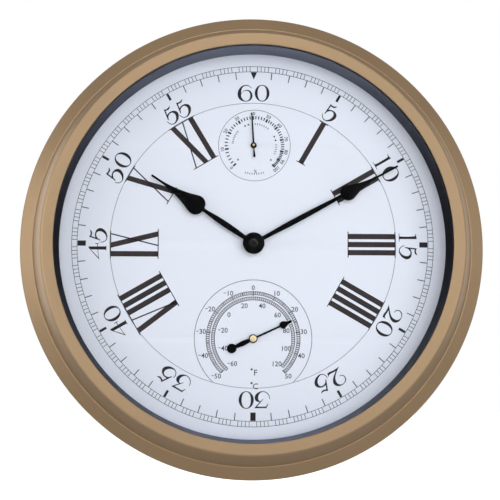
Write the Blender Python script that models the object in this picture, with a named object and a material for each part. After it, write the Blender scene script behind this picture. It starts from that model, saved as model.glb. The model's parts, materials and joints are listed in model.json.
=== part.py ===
# Round wall weather station: a clock, a thermometer and a hygrometer on one dial.
# The origin is on the axis of the clock hands, in the wall's plane. The dial faces -Y and +Z is up.
# Depth is measured forwards from the wall, along -Y. Lengths are in metres, angles in degrees.
# An angle round the dial is measured clockwise from 12 o'clock, as seen from the front.

from math import asin, cos, degrees, hypot, pi, radians, sin, sqrt, tau

import bmesh
import bpy

# Gaps
seat_gap = 0.0003           # between pieces that rest on each other
running_gap = 0.0001        # round an arbor in its bearing
screw_gap = 0.0004          # round a screw in its hole
cut_overrun = 0.002         # how far a cutter passes the face that it cuts
weld = 0.0000001            # points closer than this are one point

# Facets of round pieces
ring_steps = 48
part_steps = 20
pin_steps = 12

# Case. Widths and flares add up outwards, from the dial's opening to the outer rim.
sheet = 0.0012
dial_opening = 0.1620
cone_flare = 0.0002
face_width = 0.0104
wall_flare = 0.0117
groove_width = 0.0010
rim_width = 0.0114
rim_fall = 0.0064
rim_round = 0.0016
hem_width = 0.0034
hem_depth = 0.0024
ledge_width = 0.0120
foot_width = 0.0086
shoulder_round = 0.0020
lip_round = 0.0006
screw_inset = 0.0050
case_screws = 4
case_screw_start = 45.0

# Glass, and what frames the dial
glass_thickness = 0.0025
glass_clearance = 0.0155    # in front of the hands
gasket_thickness = 0.0010
gasket_width = 0.0050
spacer_wall = 0.0015
spacer_flange = 0.0062
dial_thickness = 0.0010
dial_edge_gap = 0.0025
dial_clearance = 0.0016     # behind the dial, to the bezel's foot

# Back cover
cover_thickness = 0.0012
cover_edge_clearance = 0.0010
cover_rib_wall = 0.0014
cover_rib_clearance = 0.0027

# Screws
screw_radius = 0.0016
screw_head_radius = 0.0030
screw_head_height = 0.0014
screw_tip = 0.0005          # how far the screw's end stands past the last sheet

# Hanger
hanger_height = 0.1300
hanger_length = 0.0240
hanger_half_web = 0.0200
hanger_foot = 0.0120
hanger_sheet = 0.0012
hanger_stand_off = 0.0065
keyhole_drop = 0.0050
keyhole_radius = 0.0045
keyhole_slot = 0.0044
keyhole_slot_length = 0.0110

# Battery, a 1.5 V cell of size AA, in its bay
cell_radius = 0.0070
cell_length = 0.0492
cell_nub_radius = 0.0027
cell_nub_length = 0.0011
cell_side_gap = 0.00055
cell_back_gap = 0.0006
bay_wall = 0.0015
contact_sheet = 0.0004
contact_half = 0.0040
contact_gap = 0.0001

# Clock movement
movement_top = 0.0260
movement_wall = 0.0012
bay_top = -0.0119
window_gap = 0.0006
movement_rubber = 0.0010
rubber_radius = 0.0150
bush_radius = 0.0040
bush_bore = 0.0027
bush_end = 0.0009           # how far the bush stands past its nut
washer_radius = 0.0080
washer_thickness = 0.0006
nut_across_flats = 0.0120
nut_height = 0.0023

# Gear train. Wheels turn on arbors along Y. A plane is the depth of a wheel's back face.
module_train = 0.0004
wheel_thickness = 0.0010
pinion_overlap = 0.0003
arbor_radius = 0.0005
centre_arbor_radius = 0.0013
hour_pipe_wall = 0.0008
rotor_plane = 0.0029
plane_pitch = 0.0018        # from one wheel of the train to the next
plate_lift = 0.0015
plate_thickness = 0.0009
centre_lift = 0.0004
motion_lift = 0.0010
hour_lift = 0.0013
train_headroom = 0.0021
leaves = 6
centre_teeth = 45
third_teeth = 48
second_teeth = 36
intermediate_teeth = 30
cannon_teeth = 10
motion_teeth = 30
motion_pinion_teeth = 8
hour_teeth = 32
knob_teeth = 10
# addendum and dedendum as shares of the module, then half a root and half a tip as shares of half the pitch
wheel_shares = (0.9, 1.3, 0.5, 0.15)
pinion_shares = (0.6, 1.35, 0.45, 0.15)
third_direction = 60.0
intermediate_direction = 270.0
rotor_direction = 270.0
motion_direction = 0.0
knob_direction = 0.0
magnet_radius = 0.0028
magnet_height = 0.0024
plate_margin_left = 0.0064  # past the rotor's arbor
plate_right = 0.0212
plate_bottom = -0.0080
plate_top = 0.0122
post_radius = 0.0010

# Setting knob
knob_radius = 0.0046
knob_height = 0.0018
knob_shaft_radius = 0.0012
knob_recess_gap = 0.0006
knob_recess_depth = 0.0026
knob_ridges = 16
knob_ridge_depth = 0.0002

# Motor and electronics
stator_lift = 0.0009        # over the back of the second wheel
stator_thickness = 0.0016
stator_gap = 0.0004
stator_inset_left = 0.0026
stator_inset_top = 0.0033
stator_width = 0.0196
stator_foot = 0.0050
stator_bar = 0.0025
coil_radius = 0.0030
coil_side_gap = 0.0006      # between the coil and the stator's bar
coil_end_gap = 0.00105
board_height = 0.0105
board_inset_left = 0.0016   # from the boss of the setting knob
board_inset_right = 0.0018
board_inset_top = 0.0008
board_lift = 0.0012
board_thickness = 0.0010
crystal_radius = 0.0014
crystal_length = 0.0070

# Hands
hand_sheet = 0.0006
hour_hand_lift = 0.0017     # over the end of the bush
hands_gap = 0.0014
hour_hand_angle = 303.6
minute_hand_angle = 61.5
cap_radius = 0.0037
cap_height = 0.0009

# Each hand is a hub, a leaf-shaped arm, a spade and a thin tip. Distances are from its pivot.
minute_length = 0.1375
minute_hub_radius = 0.0090
minute_neck = 0.0034
minute_leaf = 0.0047
minute_waist = 0.0032
minute_spade = 0.0900
minute_spade_radius = 0.0067
minute_stem = 0.0017
minute_stem_start = 0.1178
hour_length = 0.1025
hour_hub_radius = 0.0082
hour_neck = 0.0036
hour_leaf = 0.0052
hour_waist = 0.0030
hour_spade = 0.0583
hour_spade_radius = 0.0082
hour_stem = 0.0018
hour_stem_start = 0.0920
hub_steps = 10
spade_steps = 4
spade_shoulder = 75.0       # where a spade's round base ends, as an angle from its tip
spade_hollow = 1.5          # how hollow its flanks are; 1 is straight

# Thermometer
thermometer_drop = 0.0790
thermometer_case_radius = 0.0200
thermometer_hand_lift = 0.0027
thermometer_hand_angle = 65.3
thermometer_length = 0.0357
thermometer_hub_radius = 0.0036
thermometer_hub_steps = 5
thermometer_arm = 0.0016
thermometer_waist = 0.0015
thermometer_spade = 0.0281
thermometer_spade_radius = 0.0035
thermometer_stem = 0.0010
thermometer_stem_start = 0.0345
thermometer_weight = 0.0196
thermometer_weight_radius = 0.0040
thermometer_tail_neck = 0.0022
thermometer_tail_leaf = 0.0037
thermometer_tail_steps = 3
thermometer_cap_radius = 0.0028
thermometer_cap_height = 0.0009

# Hygrometer
hygrometer_rise = 0.0837
hygrometer_case_radius = 0.0150
hygrometer_hand_lift = 0.0021
hygrometer_hand_angle = -3.5
hygrometer_length = 0.0271
hygrometer_hub_radius = 0.0023
hygrometer_hub_steps = 6
hygrometer_needle = 0.0014
hygrometer_tip = 0.0010
hygrometer_tail = 0.0102
hygrometer_tail_width = 0.0018

# Both instruments
instrument_depth = 0.0082
instrument_wall = 0.0010
neck_wall = 0.0011
neck_stand = 0.0004
instrument_bar = 0.0040
spindle_radius = 0.0010
coil_turns = 3
coil_strip = 0.0004
coil_height = 0.0036
coil_lift = 0.0010
coil_points = 14
anchor_radius = 0.0008

# Depths of the movement, from its back in the wall's plane
second_plane = rotor_plane + plane_pitch
third_plane = second_plane + plane_pitch
plate_back = third_plane + plate_lift
plate_front = plate_back + plate_thickness
movement_split = plate_front + running_gap
centre_plane = plate_front + centre_lift
motion_plane = centre_plane + wheel_thickness + motion_lift
hour_plane = motion_plane + wheel_thickness + hour_lift
movement_front = hour_plane + wheel_thickness + train_headroom + movement_wall
stator_back = second_plane + stator_lift
board_back = movement_wall + board_lift
cell_depth = cell_radius + cell_back_gap

# Depths of what the movement carries
rubber_back = movement_front + seat_gap
rubber_front = rubber_back + movement_rubber
dial_back = rubber_front + seat_gap
dial_front = dial_back + dial_thickness
washer_back = dial_front + seat_gap
nut_back = washer_back + washer_thickness + seat_gap
bush_front = nut_back + nut_height + bush_end
hour_hand_depth = bush_front + hour_hand_lift
minute_hand_depth = hour_hand_depth + hand_sheet + hands_gap
cap_back = minute_hand_depth + hand_sheet + 2 * seat_gap
thermometer_hand_depth = dial_front + thermometer_hand_lift
hygrometer_hand_depth = dial_front + hygrometer_hand_lift
instrument_front = dial_back - seat_gap
instrument_back = instrument_front - instrument_depth

# Depths of the case
foot_front = dial_back - dial_clearance
foot_back = foot_front - sheet
ledge_front = foot_back - seat_gap
ledge_back = ledge_front - sheet
rim_crest = ledge_front - rim_fall
cover_front = ledge_back - seat_gap
cover_back = cover_front - cover_thickness
hanger_foot_front = cover_back - seat_gap
hanger_foot_back = hanger_foot_front - hanger_sheet
glass_back = cap_back + cap_height + glass_clearance
glass_front = glass_back + glass_thickness
gasket_back = glass_front + seat_gap
gasket_front = gasket_back + gasket_thickness
bezel_front = gasket_front + seat_gap + sheet
spacer_front = glass_back - seat_gap

# Radii of the case
spacer_top_radius = dial_opening + cone_flare
lip_bore = spacer_top_radius + seat_gap
shoulder_radius = lip_bore + face_width
foot_radius = shoulder_radius + wall_flare
foot_bore = foot_radius - foot_width
groove_radius = foot_radius + groove_width
ledge_bore = groove_radius - ledge_width
rim_radius = groove_radius + rim_width
screw_circle = foot_radius - screw_inset
cover_radius = groove_radius - cover_edge_clearance
cover_rib_radius = ledge_bore - cover_rib_clearance
case_slope = wall_flare / (bezel_front - shoulder_round - foot_front)

# Sizes across the movement, its hands and the instruments
movement_half_width = cell_length / 2 + cell_nub_length + contact_gap + contact_sheet + seat_gap + bay_wall
movement_bottom = bay_top - 2 * (cell_radius + cell_side_gap + bay_wall)
inner_half_width = movement_half_width - movement_wall
inner_top = movement_top - movement_wall
stator_left = stator_inset_left - inner_half_width
stator_right = stator_left + stator_width
stator_top = inner_top - stator_inset_top
knob_boss_radius = knob_radius + knob_recess_gap + movement_wall
board_left = knob_boss_radius + board_inset_left
board_right = inner_half_width - board_inset_right
board_top = inner_top - board_inset_top
third_module = (centre_teeth + leaves) * module_train / (third_teeth + leaves)
hand_bore = centre_arbor_radius + seat_gap
hour_pipe_radius = hand_bore + hour_pipe_wall
neck_bore = spindle_radius + seat_gap
neck_radius = neck_bore + neck_wall


def clear_scene():
    for thing in list(bpy.data.objects):
        bpy.data.objects.remove(thing, do_unlink=True)


def paint(name, colour, roughness, metallic=0.0):
    """A material with one Principled BSDF."""
    finish = bpy.data.materials.new(name)
    finish.use_nodes = True
    shader = finish.node_tree.nodes["Principled BSDF"]
    shader.inputs["Base Color"].default_value = (*colour, 1.0)
    shader.inputs["Roughness"].default_value = roughness
    shader.inputs["Metallic"].default_value = metallic
    return finish


# Shapes

def around(radius, angle, centre=(0.0, 0.0)):
    """The (x, z) point at an angle clockwise from up."""
    turn = radians(angle)
    return centre[0] + radius * sin(turn), centre[1] + radius * cos(turn)


def arc(radius, start, end, steps, centre=(0.0, 0.0)):
    """Points on a circle, from one angle to another."""
    return [around(radius, start + (end - start) * step / steps, centre) for step in range(steps + 1)]


def add_object(name, mesh_data, finish):
    """Close a bmesh into a named object with its faces pointing out."""
    bmesh.ops.remove_doubles(mesh_data, verts=mesh_data.verts, dist=weld)
    bmesh.ops.recalc_face_normals(mesh_data, faces=mesh_data.faces)
    mesh = bpy.data.meshes.new(name)
    mesh_data.to_mesh(mesh)
    mesh_data.free()
    mesh.shade_smooth()
    mesh.set_sharp_from_angle(angle=radians(30.0))
    mesh.materials.append(finish)
    thing = bpy.data.objects.new(name, mesh)
    bpy.context.scene.collection.objects.link(thing)
    return thing


def turned(name, profile, finish, centre=(0.0, 0.0), steps=part_steps):
    """Spin (radius, depth) points round an axis along Y: a loop, or a line from axis to axis."""
    mesh_data = bmesh.new()
    verts = [mesh_data.verts.new((radius, -depth, 0.0)) for radius, depth in profile]
    pairs = list(zip(verts, verts[1:]))
    if profile[0][0] > 0.0:
        pairs.append((verts[-1], verts[0]))
    edges = [mesh_data.edges.new(pair) for pair in pairs]
    bmesh.ops.spin(mesh_data, geom=verts + edges, cent=(0.0, 0.0, 0.0), axis=(0.0, 1.0, 0.0),
                   angle=tau, steps=steps, use_merge=True)
    bmesh.ops.translate(mesh_data, verts=mesh_data.verts, vec=(centre[0], 0.0, centre[1]))
    return add_object(name, mesh_data, finish)


def rod(name, radius, back, front, finish, centre=(0.0, 0.0), steps=pin_steps):
    """A plain cylinder along Y."""
    profile = [(0.0, back), (radius, back), (radius, front), (0.0, front)]
    return turned(name, profile, finish, centre, steps)


def pushed(name, outline, direction, finish):
    """Push a flat outline of 3D points along a direction into a solid."""
    mesh_data = bmesh.new()
    face = mesh_data.faces.new([mesh_data.verts.new(point) for point in outline])
    grown = bmesh.ops.extrude_face_region(mesh_data, geom=[face])
    moved = [item for item in grown["geom"] if isinstance(item, bmesh.types.BMVert)]
    bmesh.ops.translate(mesh_data, verts=moved, vec=direction)
    return add_object(name, mesh_data, finish)


def plate(name, outline, back, front, finish):
    """A flat piece in the dial's plane, from an outline of (x, z) points."""
    return pushed(name, [(x, -back, z) for x, z in outline], (0.0, back - front, 0.0), finish)


def block(name, left, right, bottom, top, back, front, finish):
    return plate(name, [(left, bottom), (right, bottom), (right, top), (left, top)], back, front, finish)


def make_guide(thing):
    thing.hide_render = True
    thing.display_type = "WIRE"


def combine(base, others, operation):
    """Join other shapes to a base, or cut them out of it. They stay as guides."""
    for other in others:
        change = base.modifiers.new(other.name, "BOOLEAN")
        change.operation = operation
        change.solver = "EXACT"
        change.object = other
        make_guide(other)
    return base


def join(base, *others):
    return combine(base, others, "UNION")


def cut(base, *others):
    return combine(base, others, "DIFFERENCE")


def drill(base, holes, back, front, steps=pin_steps):
    """Cut round holes, given as (centre, radius), with one cutter of separate rods."""
    mesh_data = bmesh.new()
    for (x, z), radius in holes:
        ring = [mesh_data.verts.new((px, cut_overrun - back, pz))
                for px, pz in arc(radius, 0.0, 360.0, steps, (x, z))[:-1]]
        grown = bmesh.ops.extrude_face_region(mesh_data, geom=[mesh_data.faces.new(ring)])
        moved = [item for item in grown["geom"] if isinstance(item, bmesh.types.BMVert)]
        bmesh.ops.translate(mesh_data, verts=moved, vec=(0.0, back - front - 2 * cut_overrun, 0.0))
    cutter = add_object(base.name + "_holes", mesh_data, base.data.materials[0])
    return cut(base, cutter)


def case_screw_places():
    step = 360.0 / case_screws
    return [around(screw_circle, case_screw_start + step * place) for place in range(case_screws)]


def bezel_inside(depth):
    """The bezel's inner radius at a depth of its side wall."""
    return foot_radius - (depth - foot_front) * case_slope - sheet * sqrt(1 + case_slope ** 2)


# Case

def make_bezel():
    wall_top = bezel_front - shoulder_round
    corner = shoulder_round * (1 - sin(pi / 4))
    profile = [
        (lip_bore, bezel_front - sheet),
        (lip_bore, bezel_front - lip_round),
        (lip_bore + lip_round, bezel_front),
        (shoulder_radius - shoulder_round, bezel_front),
        (shoulder_radius - corner, bezel_front - corner),
        (shoulder_radius, wall_top),
        (foot_radius, foot_front),
        (foot_radius, foot_back),
        (foot_bore, foot_back),
        (foot_bore, foot_front),
        (bezel_inside(foot_front), foot_front),
        (bezel_inside(wall_top), wall_top),
        (shoulder_radius - shoulder_round, bezel_front - sheet),
    ]
    bezel = turned("bezel", profile, tan_paint, steps=ring_steps)
    holes = [(place, screw_radius + screw_gap) for place in case_screw_places()]
    return drill(bezel, holes, foot_back, foot_front)


def make_band():
    inside = rim_radius - sheet
    profile = [
        (ledge_bore, ledge_back),
        (ledge_bore, ledge_front),
        (groove_radius, ledge_front),
        (rim_radius - rim_round, rim_crest + rim_round),
        (rim_radius, rim_crest),
        (rim_radius, sheet / 2),
        (rim_radius - sheet / 2, 0.0),
        (rim_radius - hem_width, 0.0),
        (rim_radius - hem_width, hem_depth),
        (inside, hem_depth),
        (inside, rim_crest - sheet / 2),
        (groove_radius, ledge_back),
    ]
    band = turned("case_band", profile, tan_paint, steps=ring_steps)
    holes = [(place, screw_radius + screw_gap) for place in case_screw_places()]
    return drill(band, holes, ledge_back, ledge_front)


def make_glass():
    radius = bezel_inside(glass_front) - seat_gap
    return rod("glass", radius, glass_back, glass_front, clear_glass, steps=ring_steps)


def make_glass_gasket():
    outer = lip_bore + seat_gap + gasket_width
    profile = [(outer, gasket_back), (outer, gasket_front),
               (lip_bore + seat_gap, gasket_front), (lip_bore + seat_gap, gasket_back)]
    return turned("glass_gasket", profile, black_rubber, steps=ring_steps)


def make_spacer_ring():
    foot = dial_front + seat_gap
    profile = [
        (dial_opening, foot),
        (spacer_top_radius, spacer_front),
        (spacer_top_radius + spacer_flange, spacer_front),
        (spacer_top_radius + spacer_flange, spacer_front - spacer_wall),
        (spacer_top_radius + spacer_wall, spacer_front - spacer_wall),
        (dial_opening + spacer_wall, foot),
    ]
    return turned("spacer_ring", profile, black_plastic, steps=ring_steps)


def make_dial_plate():
    edge = arc(bezel_inside(dial_front) - dial_edge_gap, 0.0, 360.0, ring_steps)[:-1]
    dial = plate("dial_plate", edge, dial_back, dial_front, dial_white)
    holes = [
        ((0.0, 0.0), bush_radius + seat_gap),
        (thermometer_centre, neck_radius + seat_gap),
        (hygrometer_centre, neck_radius + seat_gap),
    ]
    return drill(dial, holes, dial_back, dial_front)


def make_back_cover():
    edge = arc(cover_radius, 0.0, 360.0, ring_steps)[:-1]
    cover = plate("back_cover", edge, cover_back, cover_front, black_steel)
    rib_root = cover_front - cover_thickness / 2
    rib_front = dial_back - seat_gap
    rib = turned("cover_rib", [
        (cover_rib_radius - cover_rib_wall, rib_root), (cover_rib_radius, rib_root),
        (cover_rib_radius, rib_front), (cover_rib_radius - cover_rib_wall, rib_front),
    ], black_steel, steps=ring_steps)
    join(cover, rib)
    window = block("movement_window", -movement_half_width - window_gap, movement_half_width + window_gap,
                   movement_bottom - window_gap, movement_top + window_gap,
                   cover_back - cut_overrun, cover_front + cut_overrun, black_steel)
    cut(cover, window)
    holes = [(place, screw_radius + screw_gap) for place in case_screw_places() + hanger_screw_places]
    drill(cover, holes, cover_back, cover_front)
    for name, centre, radius in (("thermometer_window", thermometer_centre, thermometer_case_radius),
                                 ("hygrometer_window", hygrometer_centre, hygrometer_case_radius)):
        window = rod(name, radius + window_gap, cover_back - cut_overrun, cover_front + cut_overrun,
                     black_steel, centre, part_steps)
        cut(cover, window)
    return cover


def make_screw(name, centre, head_front, tip_front):
    """A pan-head screw driven from behind."""
    head_back = head_front - screw_head_height
    profile = [
        (0.0, head_back),
        (screw_head_radius * cos(pi / 4), head_back),
        (screw_head_radius, head_back + screw_head_height / 2),
        (screw_head_radius, head_front),
        (screw_radius, head_front),
        (screw_radius, tip_front - screw_radius / 2),
        (0.0, tip_front),
    ]
    return turned(name, profile, zinc_steel, centre, pin_steps)


def make_screws():
    for number, place in enumerate(case_screw_places(), 1):
        make_screw(f"cover_screw_{number}", place, cover_back - seat_gap, foot_front + screw_tip)
    for number, place in enumerate(hanger_screw_places, 1):
        make_screw(f"hanger_screw_{number}", place, hanger_foot_back - seat_gap, cover_front + screw_tip)


def make_hanger_plate():
    web_back = hanger_foot_front - hanger_stand_off
    web_front = web_back + hanger_sheet
    inner = hanger_half_web - hanger_sheet
    half = [
        (hanger_half_web + hanger_foot, hanger_foot_front),
        (hanger_half_web + hanger_foot, hanger_foot_back),
        (hanger_half_web, hanger_foot_back),
        (hanger_half_web, web_back),
    ]
    inside = [(inner, web_front), (inner, hanger_foot_front)]
    section = half + [(-x, depth) for x, depth in reversed(half)]
    section += [(-x, depth) for x, depth in reversed(inside)] + inside
    low = hanger_height - hanger_length / 2
    bracket = pushed("hanger_plate", [(x, -depth, low) for x, depth in section],
                     (0.0, 0.0, hanger_length), zinc_steel)
    hole_height = hanger_height - keyhole_drop
    slot = block("keyhole_slot", -keyhole_slot / 2, keyhole_slot / 2,
                 hole_height, hole_height + keyhole_slot_length,
                 web_back - cut_overrun, web_front + cut_overrun, zinc_steel)
    cut(bracket, slot)
    drill(bracket, [((0.0, hole_height), keyhole_radius)], web_back, web_front)
    screw_holes = [(place, screw_radius + screw_gap) for place in hanger_screw_places]
    return drill(bracket, screw_holes, hanger_foot_back, hanger_foot_front)


# Gears

def gear_outline(teeth, module, phase, centre, is_pinion):
    """Four points for each tooth: root, tip, tip, root. The phase is the angle of one tooth."""
    addendum_share, dedendum_share, root_share, tip_share = pinion_shares if is_pinion else wheel_shares
    pitch_radius = teeth * module / 2
    tip = pitch_radius + addendum_share * module
    root = pitch_radius - dedendum_share * module
    half_pitch = 180.0 / teeth
    points = []
    for tooth in range(teeth):
        middle = phase + 2 * half_pitch * tooth
        points.append(around(root, middle - root_share * half_pitch, centre))
        points.append(around(tip, middle - tip_share * half_pitch, centre))
        points.append(around(tip, middle + tip_share * half_pitch, centre))
        points.append(around(root, middle + root_share * half_pitch, centre))
    return points


def meshing_phase(teeth, phase, other_teeth, direction):
    """The phase of a gear that meshes with another, which lies at a direction from it."""
    return direction + 180.0 + 180.0 / other_teeth - (phase - direction) * teeth / other_teeth


def gear(name, teeth, module, phase, centre, back, front, finish, is_pinion=False):
    return plate(name, gear_outline(teeth, module, phase, centre, is_pinion), back, front, finish)


def centre_distance(teeth, other_teeth, module=module_train):
    return (teeth + other_teeth) * module / 2


def make_train():
    """The running train, from the rotor to the centre wheel."""
    bearing_back = movement_wall + seat_gap
    bearing_front = movement_front - movement_wall - seat_gap
    plate_end = plate_front - running_gap
    third_phase = meshing_phase(centre_teeth, 0.0, leaves, third_direction)
    second_phase = meshing_phase(third_teeth, 0.0, leaves, third_direction + 180.0)
    intermediate_phase = meshing_phase(second_teeth, 0.0, leaves, intermediate_direction)
    rotor_phase = meshing_phase(intermediate_teeth, 0.0, leaves, rotor_direction)

    centre_wheel = gear("centre_wheel", centre_teeth, module_train, 0.0, (0.0, 0.0),
                        centre_plane, centre_plane + wheel_thickness, brass)
    drill(centre_wheel, [((0.0, 0.0), hand_bore)], centre_plane, centre_plane + wheel_thickness)

    make_wheel("third_wheel", third_centre, third_teeth, third_module, third_plane,
               module_train, third_phase, centre_plane, bearing_back, bearing_front, white_plastic)
    make_wheel("second_wheel", (0.0, 0.0), second_teeth, module_train, second_plane,
               third_module, second_phase, third_plane, bearing_back, plate_end, white_plastic)
    make_wheel("intermediate_wheel", intermediate_centre, intermediate_teeth, module_train, rotor_plane,
               module_train, intermediate_phase, second_plane, bearing_back, plate_end, white_plastic)

    rotor = rod("rotor", arbor_radius, bearing_back, plate_end, dark_magnet, rotor_centre, pin_steps)
    pinion = gear("rotor_pinion", leaves, module_train, rotor_phase, rotor_centre,
                  rotor_plane - pinion_overlap, rotor_plane + wheel_thickness + pinion_overlap,
                  dark_magnet, True)
    magnet_back = stator_back - (magnet_height - stator_thickness) / 2
    magnet = rod("rotor_magnet", magnet_radius, magnet_back, magnet_back + magnet_height,
                 dark_magnet, rotor_centre, part_steps)
    join(rotor, pinion, magnet)


def make_wheel(name, centre, teeth, module, plane, pinion_module, pinion_phase, pinion_plane,
               back, front, finish):
    """A wheel and its pinion on one arbor."""
    arbor = rod(name, arbor_radius, back, front, finish, centre, pin_steps)
    wheel = gear(name + "_rim", teeth, module, 0.0, centre, plane, plane + wheel_thickness, finish)
    pinion_front = pinion_plane + wheel_thickness + pinion_overlap
    pinion = gear(name + "_pinion", leaves, pinion_module, pinion_phase, centre,
                  pinion_plane - pinion_overlap, pinion_front, finish, True)
    return join(arbor, wheel, pinion)


def make_motion_work():
    """The gears that drive the hour hand from the minute hand, and the setting knob."""
    arbor_front = minute_hand_depth + hand_sheet + seat_gap
    arbor_back = plate_front + seat_gap
    wheel_front = motion_plane + wheel_thickness
    pinion_back = motion_plane - pinion_overlap
    arbor = rod("centre_arbor", centre_arbor_radius, arbor_back, arbor_front, zinc_steel)
    cannon = gear("cannon_pinion", cannon_teeth, module_train, 0.0, (0.0, 0.0),
                  pinion_back, wheel_front + pinion_overlap, zinc_steel, True)
    join(arbor, cannon)

    motion_phase = meshing_phase(cannon_teeth, 0.0, motion_teeth, motion_direction)
    motion_front = hour_plane + wheel_thickness + pinion_overlap
    motion = gear("motion_wheel", motion_teeth, module_train, motion_phase, motion_centre,
                  motion_plane, wheel_front, white_plastic)
    motion_pinion = gear("motion_pinion", motion_pinion_teeth, module_train, 0.0, motion_centre,
                         wheel_front - pinion_overlap, motion_front, white_plastic, True)
    join(motion, motion_pinion)
    drill(motion, [(motion_centre, arbor_radius + running_gap)], motion_plane, motion_front)

    hour_phase = meshing_phase(motion_pinion_teeth, 0.0, hour_teeth, motion_direction + 180.0)
    hour_back = hour_plane - pinion_overlap
    hour_front = hour_hand_depth + hand_sheet + seat_gap
    hour = turned("hour_wheel", [
        (hand_bore, hour_back), (hour_pipe_radius, hour_back),
        (hour_pipe_radius, hour_front), (hand_bore, hour_front),
    ], white_plastic)
    rim = gear("hour_wheel_rim", hour_teeth, module_train, hour_phase, (0.0, 0.0),
               hour_plane, hour_plane + wheel_thickness, white_plastic)
    drill(rim, [((0.0, 0.0), (hand_bore + hour_pipe_radius) / 2)], hour_plane, hour_plane + wheel_thickness)
    join(hour, rim)

    knob_phase = meshing_phase(motion_teeth, motion_phase, knob_teeth, knob_direction)
    knob_outline = []
    for ridge in range(knob_ridges):
        angle = 360.0 * ridge / knob_ridges
        knob_outline.append(around(knob_radius, angle, knob_centre))
        knob_outline.append(around(knob_radius - knob_ridge_depth, angle + 180.0 / knob_ridges, knob_centre))
    head_front = knob_recess_depth - seat_gap
    knob = plate("setting_knob", knob_outline, head_front - knob_height, head_front, black_plastic)
    shaft = rod("knob_shaft", knob_shaft_radius, head_front - pinion_overlap,
                movement_front - movement_wall - seat_gap, black_plastic, knob_centre)
    knob_pinion = gear("knob_pinion", knob_teeth, module_train, knob_phase, knob_centre,
                       pinion_back, wheel_front + pinion_overlap, black_plastic, True)
    join(knob, shaft, knob_pinion)


# Movement

def make_rear_case():
    section = [
        (movement_bottom, 0.0), (movement_top, 0.0), (movement_top, movement_split),
        (bay_top, movement_split), (bay_top, movement_front), (movement_bottom, movement_front),
    ]
    case = pushed("movement_rear_case", [(-movement_half_width, -depth, z) for z, depth in section],
                  (2 * movement_half_width, 0.0, 0.0), black_plastic)
    cavity = block("rear_cavity", -inner_half_width, inner_half_width, bay_top + movement_wall, inner_top,
                   movement_wall, movement_split + cut_overrun, black_plastic)
    bay_inner = movement_half_width - bay_wall
    bay = block("battery_bay", -bay_inner, bay_inner, movement_bottom + bay_wall, bay_top - bay_wall,
                -cut_overrun, movement_front - movement_wall, black_plastic)
    cut(case, cavity, bay)
    boss = rod("knob_boss", knob_boss_radius, movement_wall / 2,
               knob_recess_depth + movement_wall, black_plastic, knob_centre, part_steps)
    posts = [rod(f"plate_post_{number}", post_radius, movement_wall / 2, plate_back - seat_gap,
                 black_plastic, place) for number, place in enumerate(post_places, 1)]
    join(case, boss, *posts)
    recess = rod("knob_recess", knob_radius + knob_recess_gap, -cut_overrun, knob_recess_depth,
                 black_plastic, knob_centre, part_steps)
    cut(case, recess)
    return drill(case, [(knob_centre, knob_shaft_radius + running_gap)],
                 knob_recess_depth, knob_recess_depth + movement_wall)


def make_front_case():
    bottom = bay_top + seat_gap
    back = movement_split + seat_gap
    case = block("movement_front_case", -movement_half_width, movement_half_width, bottom, movement_top,
                 back, movement_front, black_plastic)
    cavity = block("front_cavity", -inner_half_width, inner_half_width, bottom + movement_wall, inner_top,
                   back - cut_overrun, movement_front - movement_wall, black_plastic)
    cut(case, cavity)
    bush = rod("threaded_bush", bush_radius, movement_front - movement_wall / 2, bush_front,
               black_plastic, steps=part_steps)
    stud = rod("motion_stud", arbor_radius, motion_plane - pinion_overlap, movement_front - movement_wall / 2,
               black_plastic, motion_centre)
    join(case, bush, stud)
    bore = rod("bush_bore", bush_bore, movement_front - movement_wall - cut_overrun,
               bush_front + cut_overrun, black_plastic, steps=part_steps)
    return cut(case, bore)


def make_train_plate():
    train_plate = block("train_plate", plate_left, plate_right, plate_bottom, plate_top,
                        plate_back, plate_front, zinc_steel)
    bearing = arbor_radius + running_gap
    holes = [(place, bearing) for place in ((0.0, 0.0), third_centre, intermediate_centre, rotor_centre)]
    return drill(train_plate, holes, plate_back, plate_front)


def make_motor():
    window_left = stator_left + stator_bar
    window_right = stator_right - stator_bar
    window_top = stator_top - stator_bar
    rotor_right = rotor_centre[0] + magnet_radius + stator_gap + stator_bar / 2
    shelf = rotor_centre[1] + magnet_radius + stator_gap + stator_bar
    outline = [
        (stator_left, -stator_foot), (rotor_right, -stator_foot), (rotor_right, shelf),
        (stator_right, shelf + stator_bar * 2), (stator_right, stator_top), (stator_left, stator_top),
    ]
    front = stator_back + stator_thickness
    stator = plate("stator", outline, stator_back, front, bare_steel)
    window = plate("stator_window", [
        (window_left, shelf), (rotor_right - stator_bar, shelf), (window_right, shelf + stator_bar * 2),
        (window_right, window_top), (window_left, window_top),
    ], stator_back - cut_overrun, front + cut_overrun, bare_steel)
    hole = rod("rotor_hole", magnet_radius + stator_gap, stator_back - cut_overrun, front + cut_overrun,
               bare_steel, rotor_centre, part_steps)
    cut(stator, window, hole)

    half = (window_right - window_left) / 2 - coil_end_gap
    bore = hypot(stator_bar, stator_thickness) / 2 + coil_side_gap
    coil = turned("coil", [(bore, -half), (coil_radius, -half), (coil_radius, half), (bore, half)],
                  copper, steps=pin_steps)
    coil.rotation_euler = (0.0, 0.0, pi / 2)
    coil.location = ((window_left + window_right) / 2, -(stator_back + stator_thickness / 2),
                     stator_top - stator_bar / 2)


def make_electronics():
    block("circuit_board", board_left, board_right, board_top - board_height, board_top,
          board_back, board_back + board_thickness, board_green)
    crystal = turned("quartz_crystal", [
        (0.0, -crystal_length / 2), (crystal_radius, -crystal_length / 2),
        (crystal_radius, crystal_length / 2), (0.0, crystal_length / 2),
    ], bare_steel, steps=pin_steps)
    crystal.rotation_euler = (0.0, 0.0, pi / 2)
    crystal.location = ((board_left + board_right) / 2,
                        -(board_back + board_thickness + seat_gap + crystal_radius),
                        board_top - board_height / 2)


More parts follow.
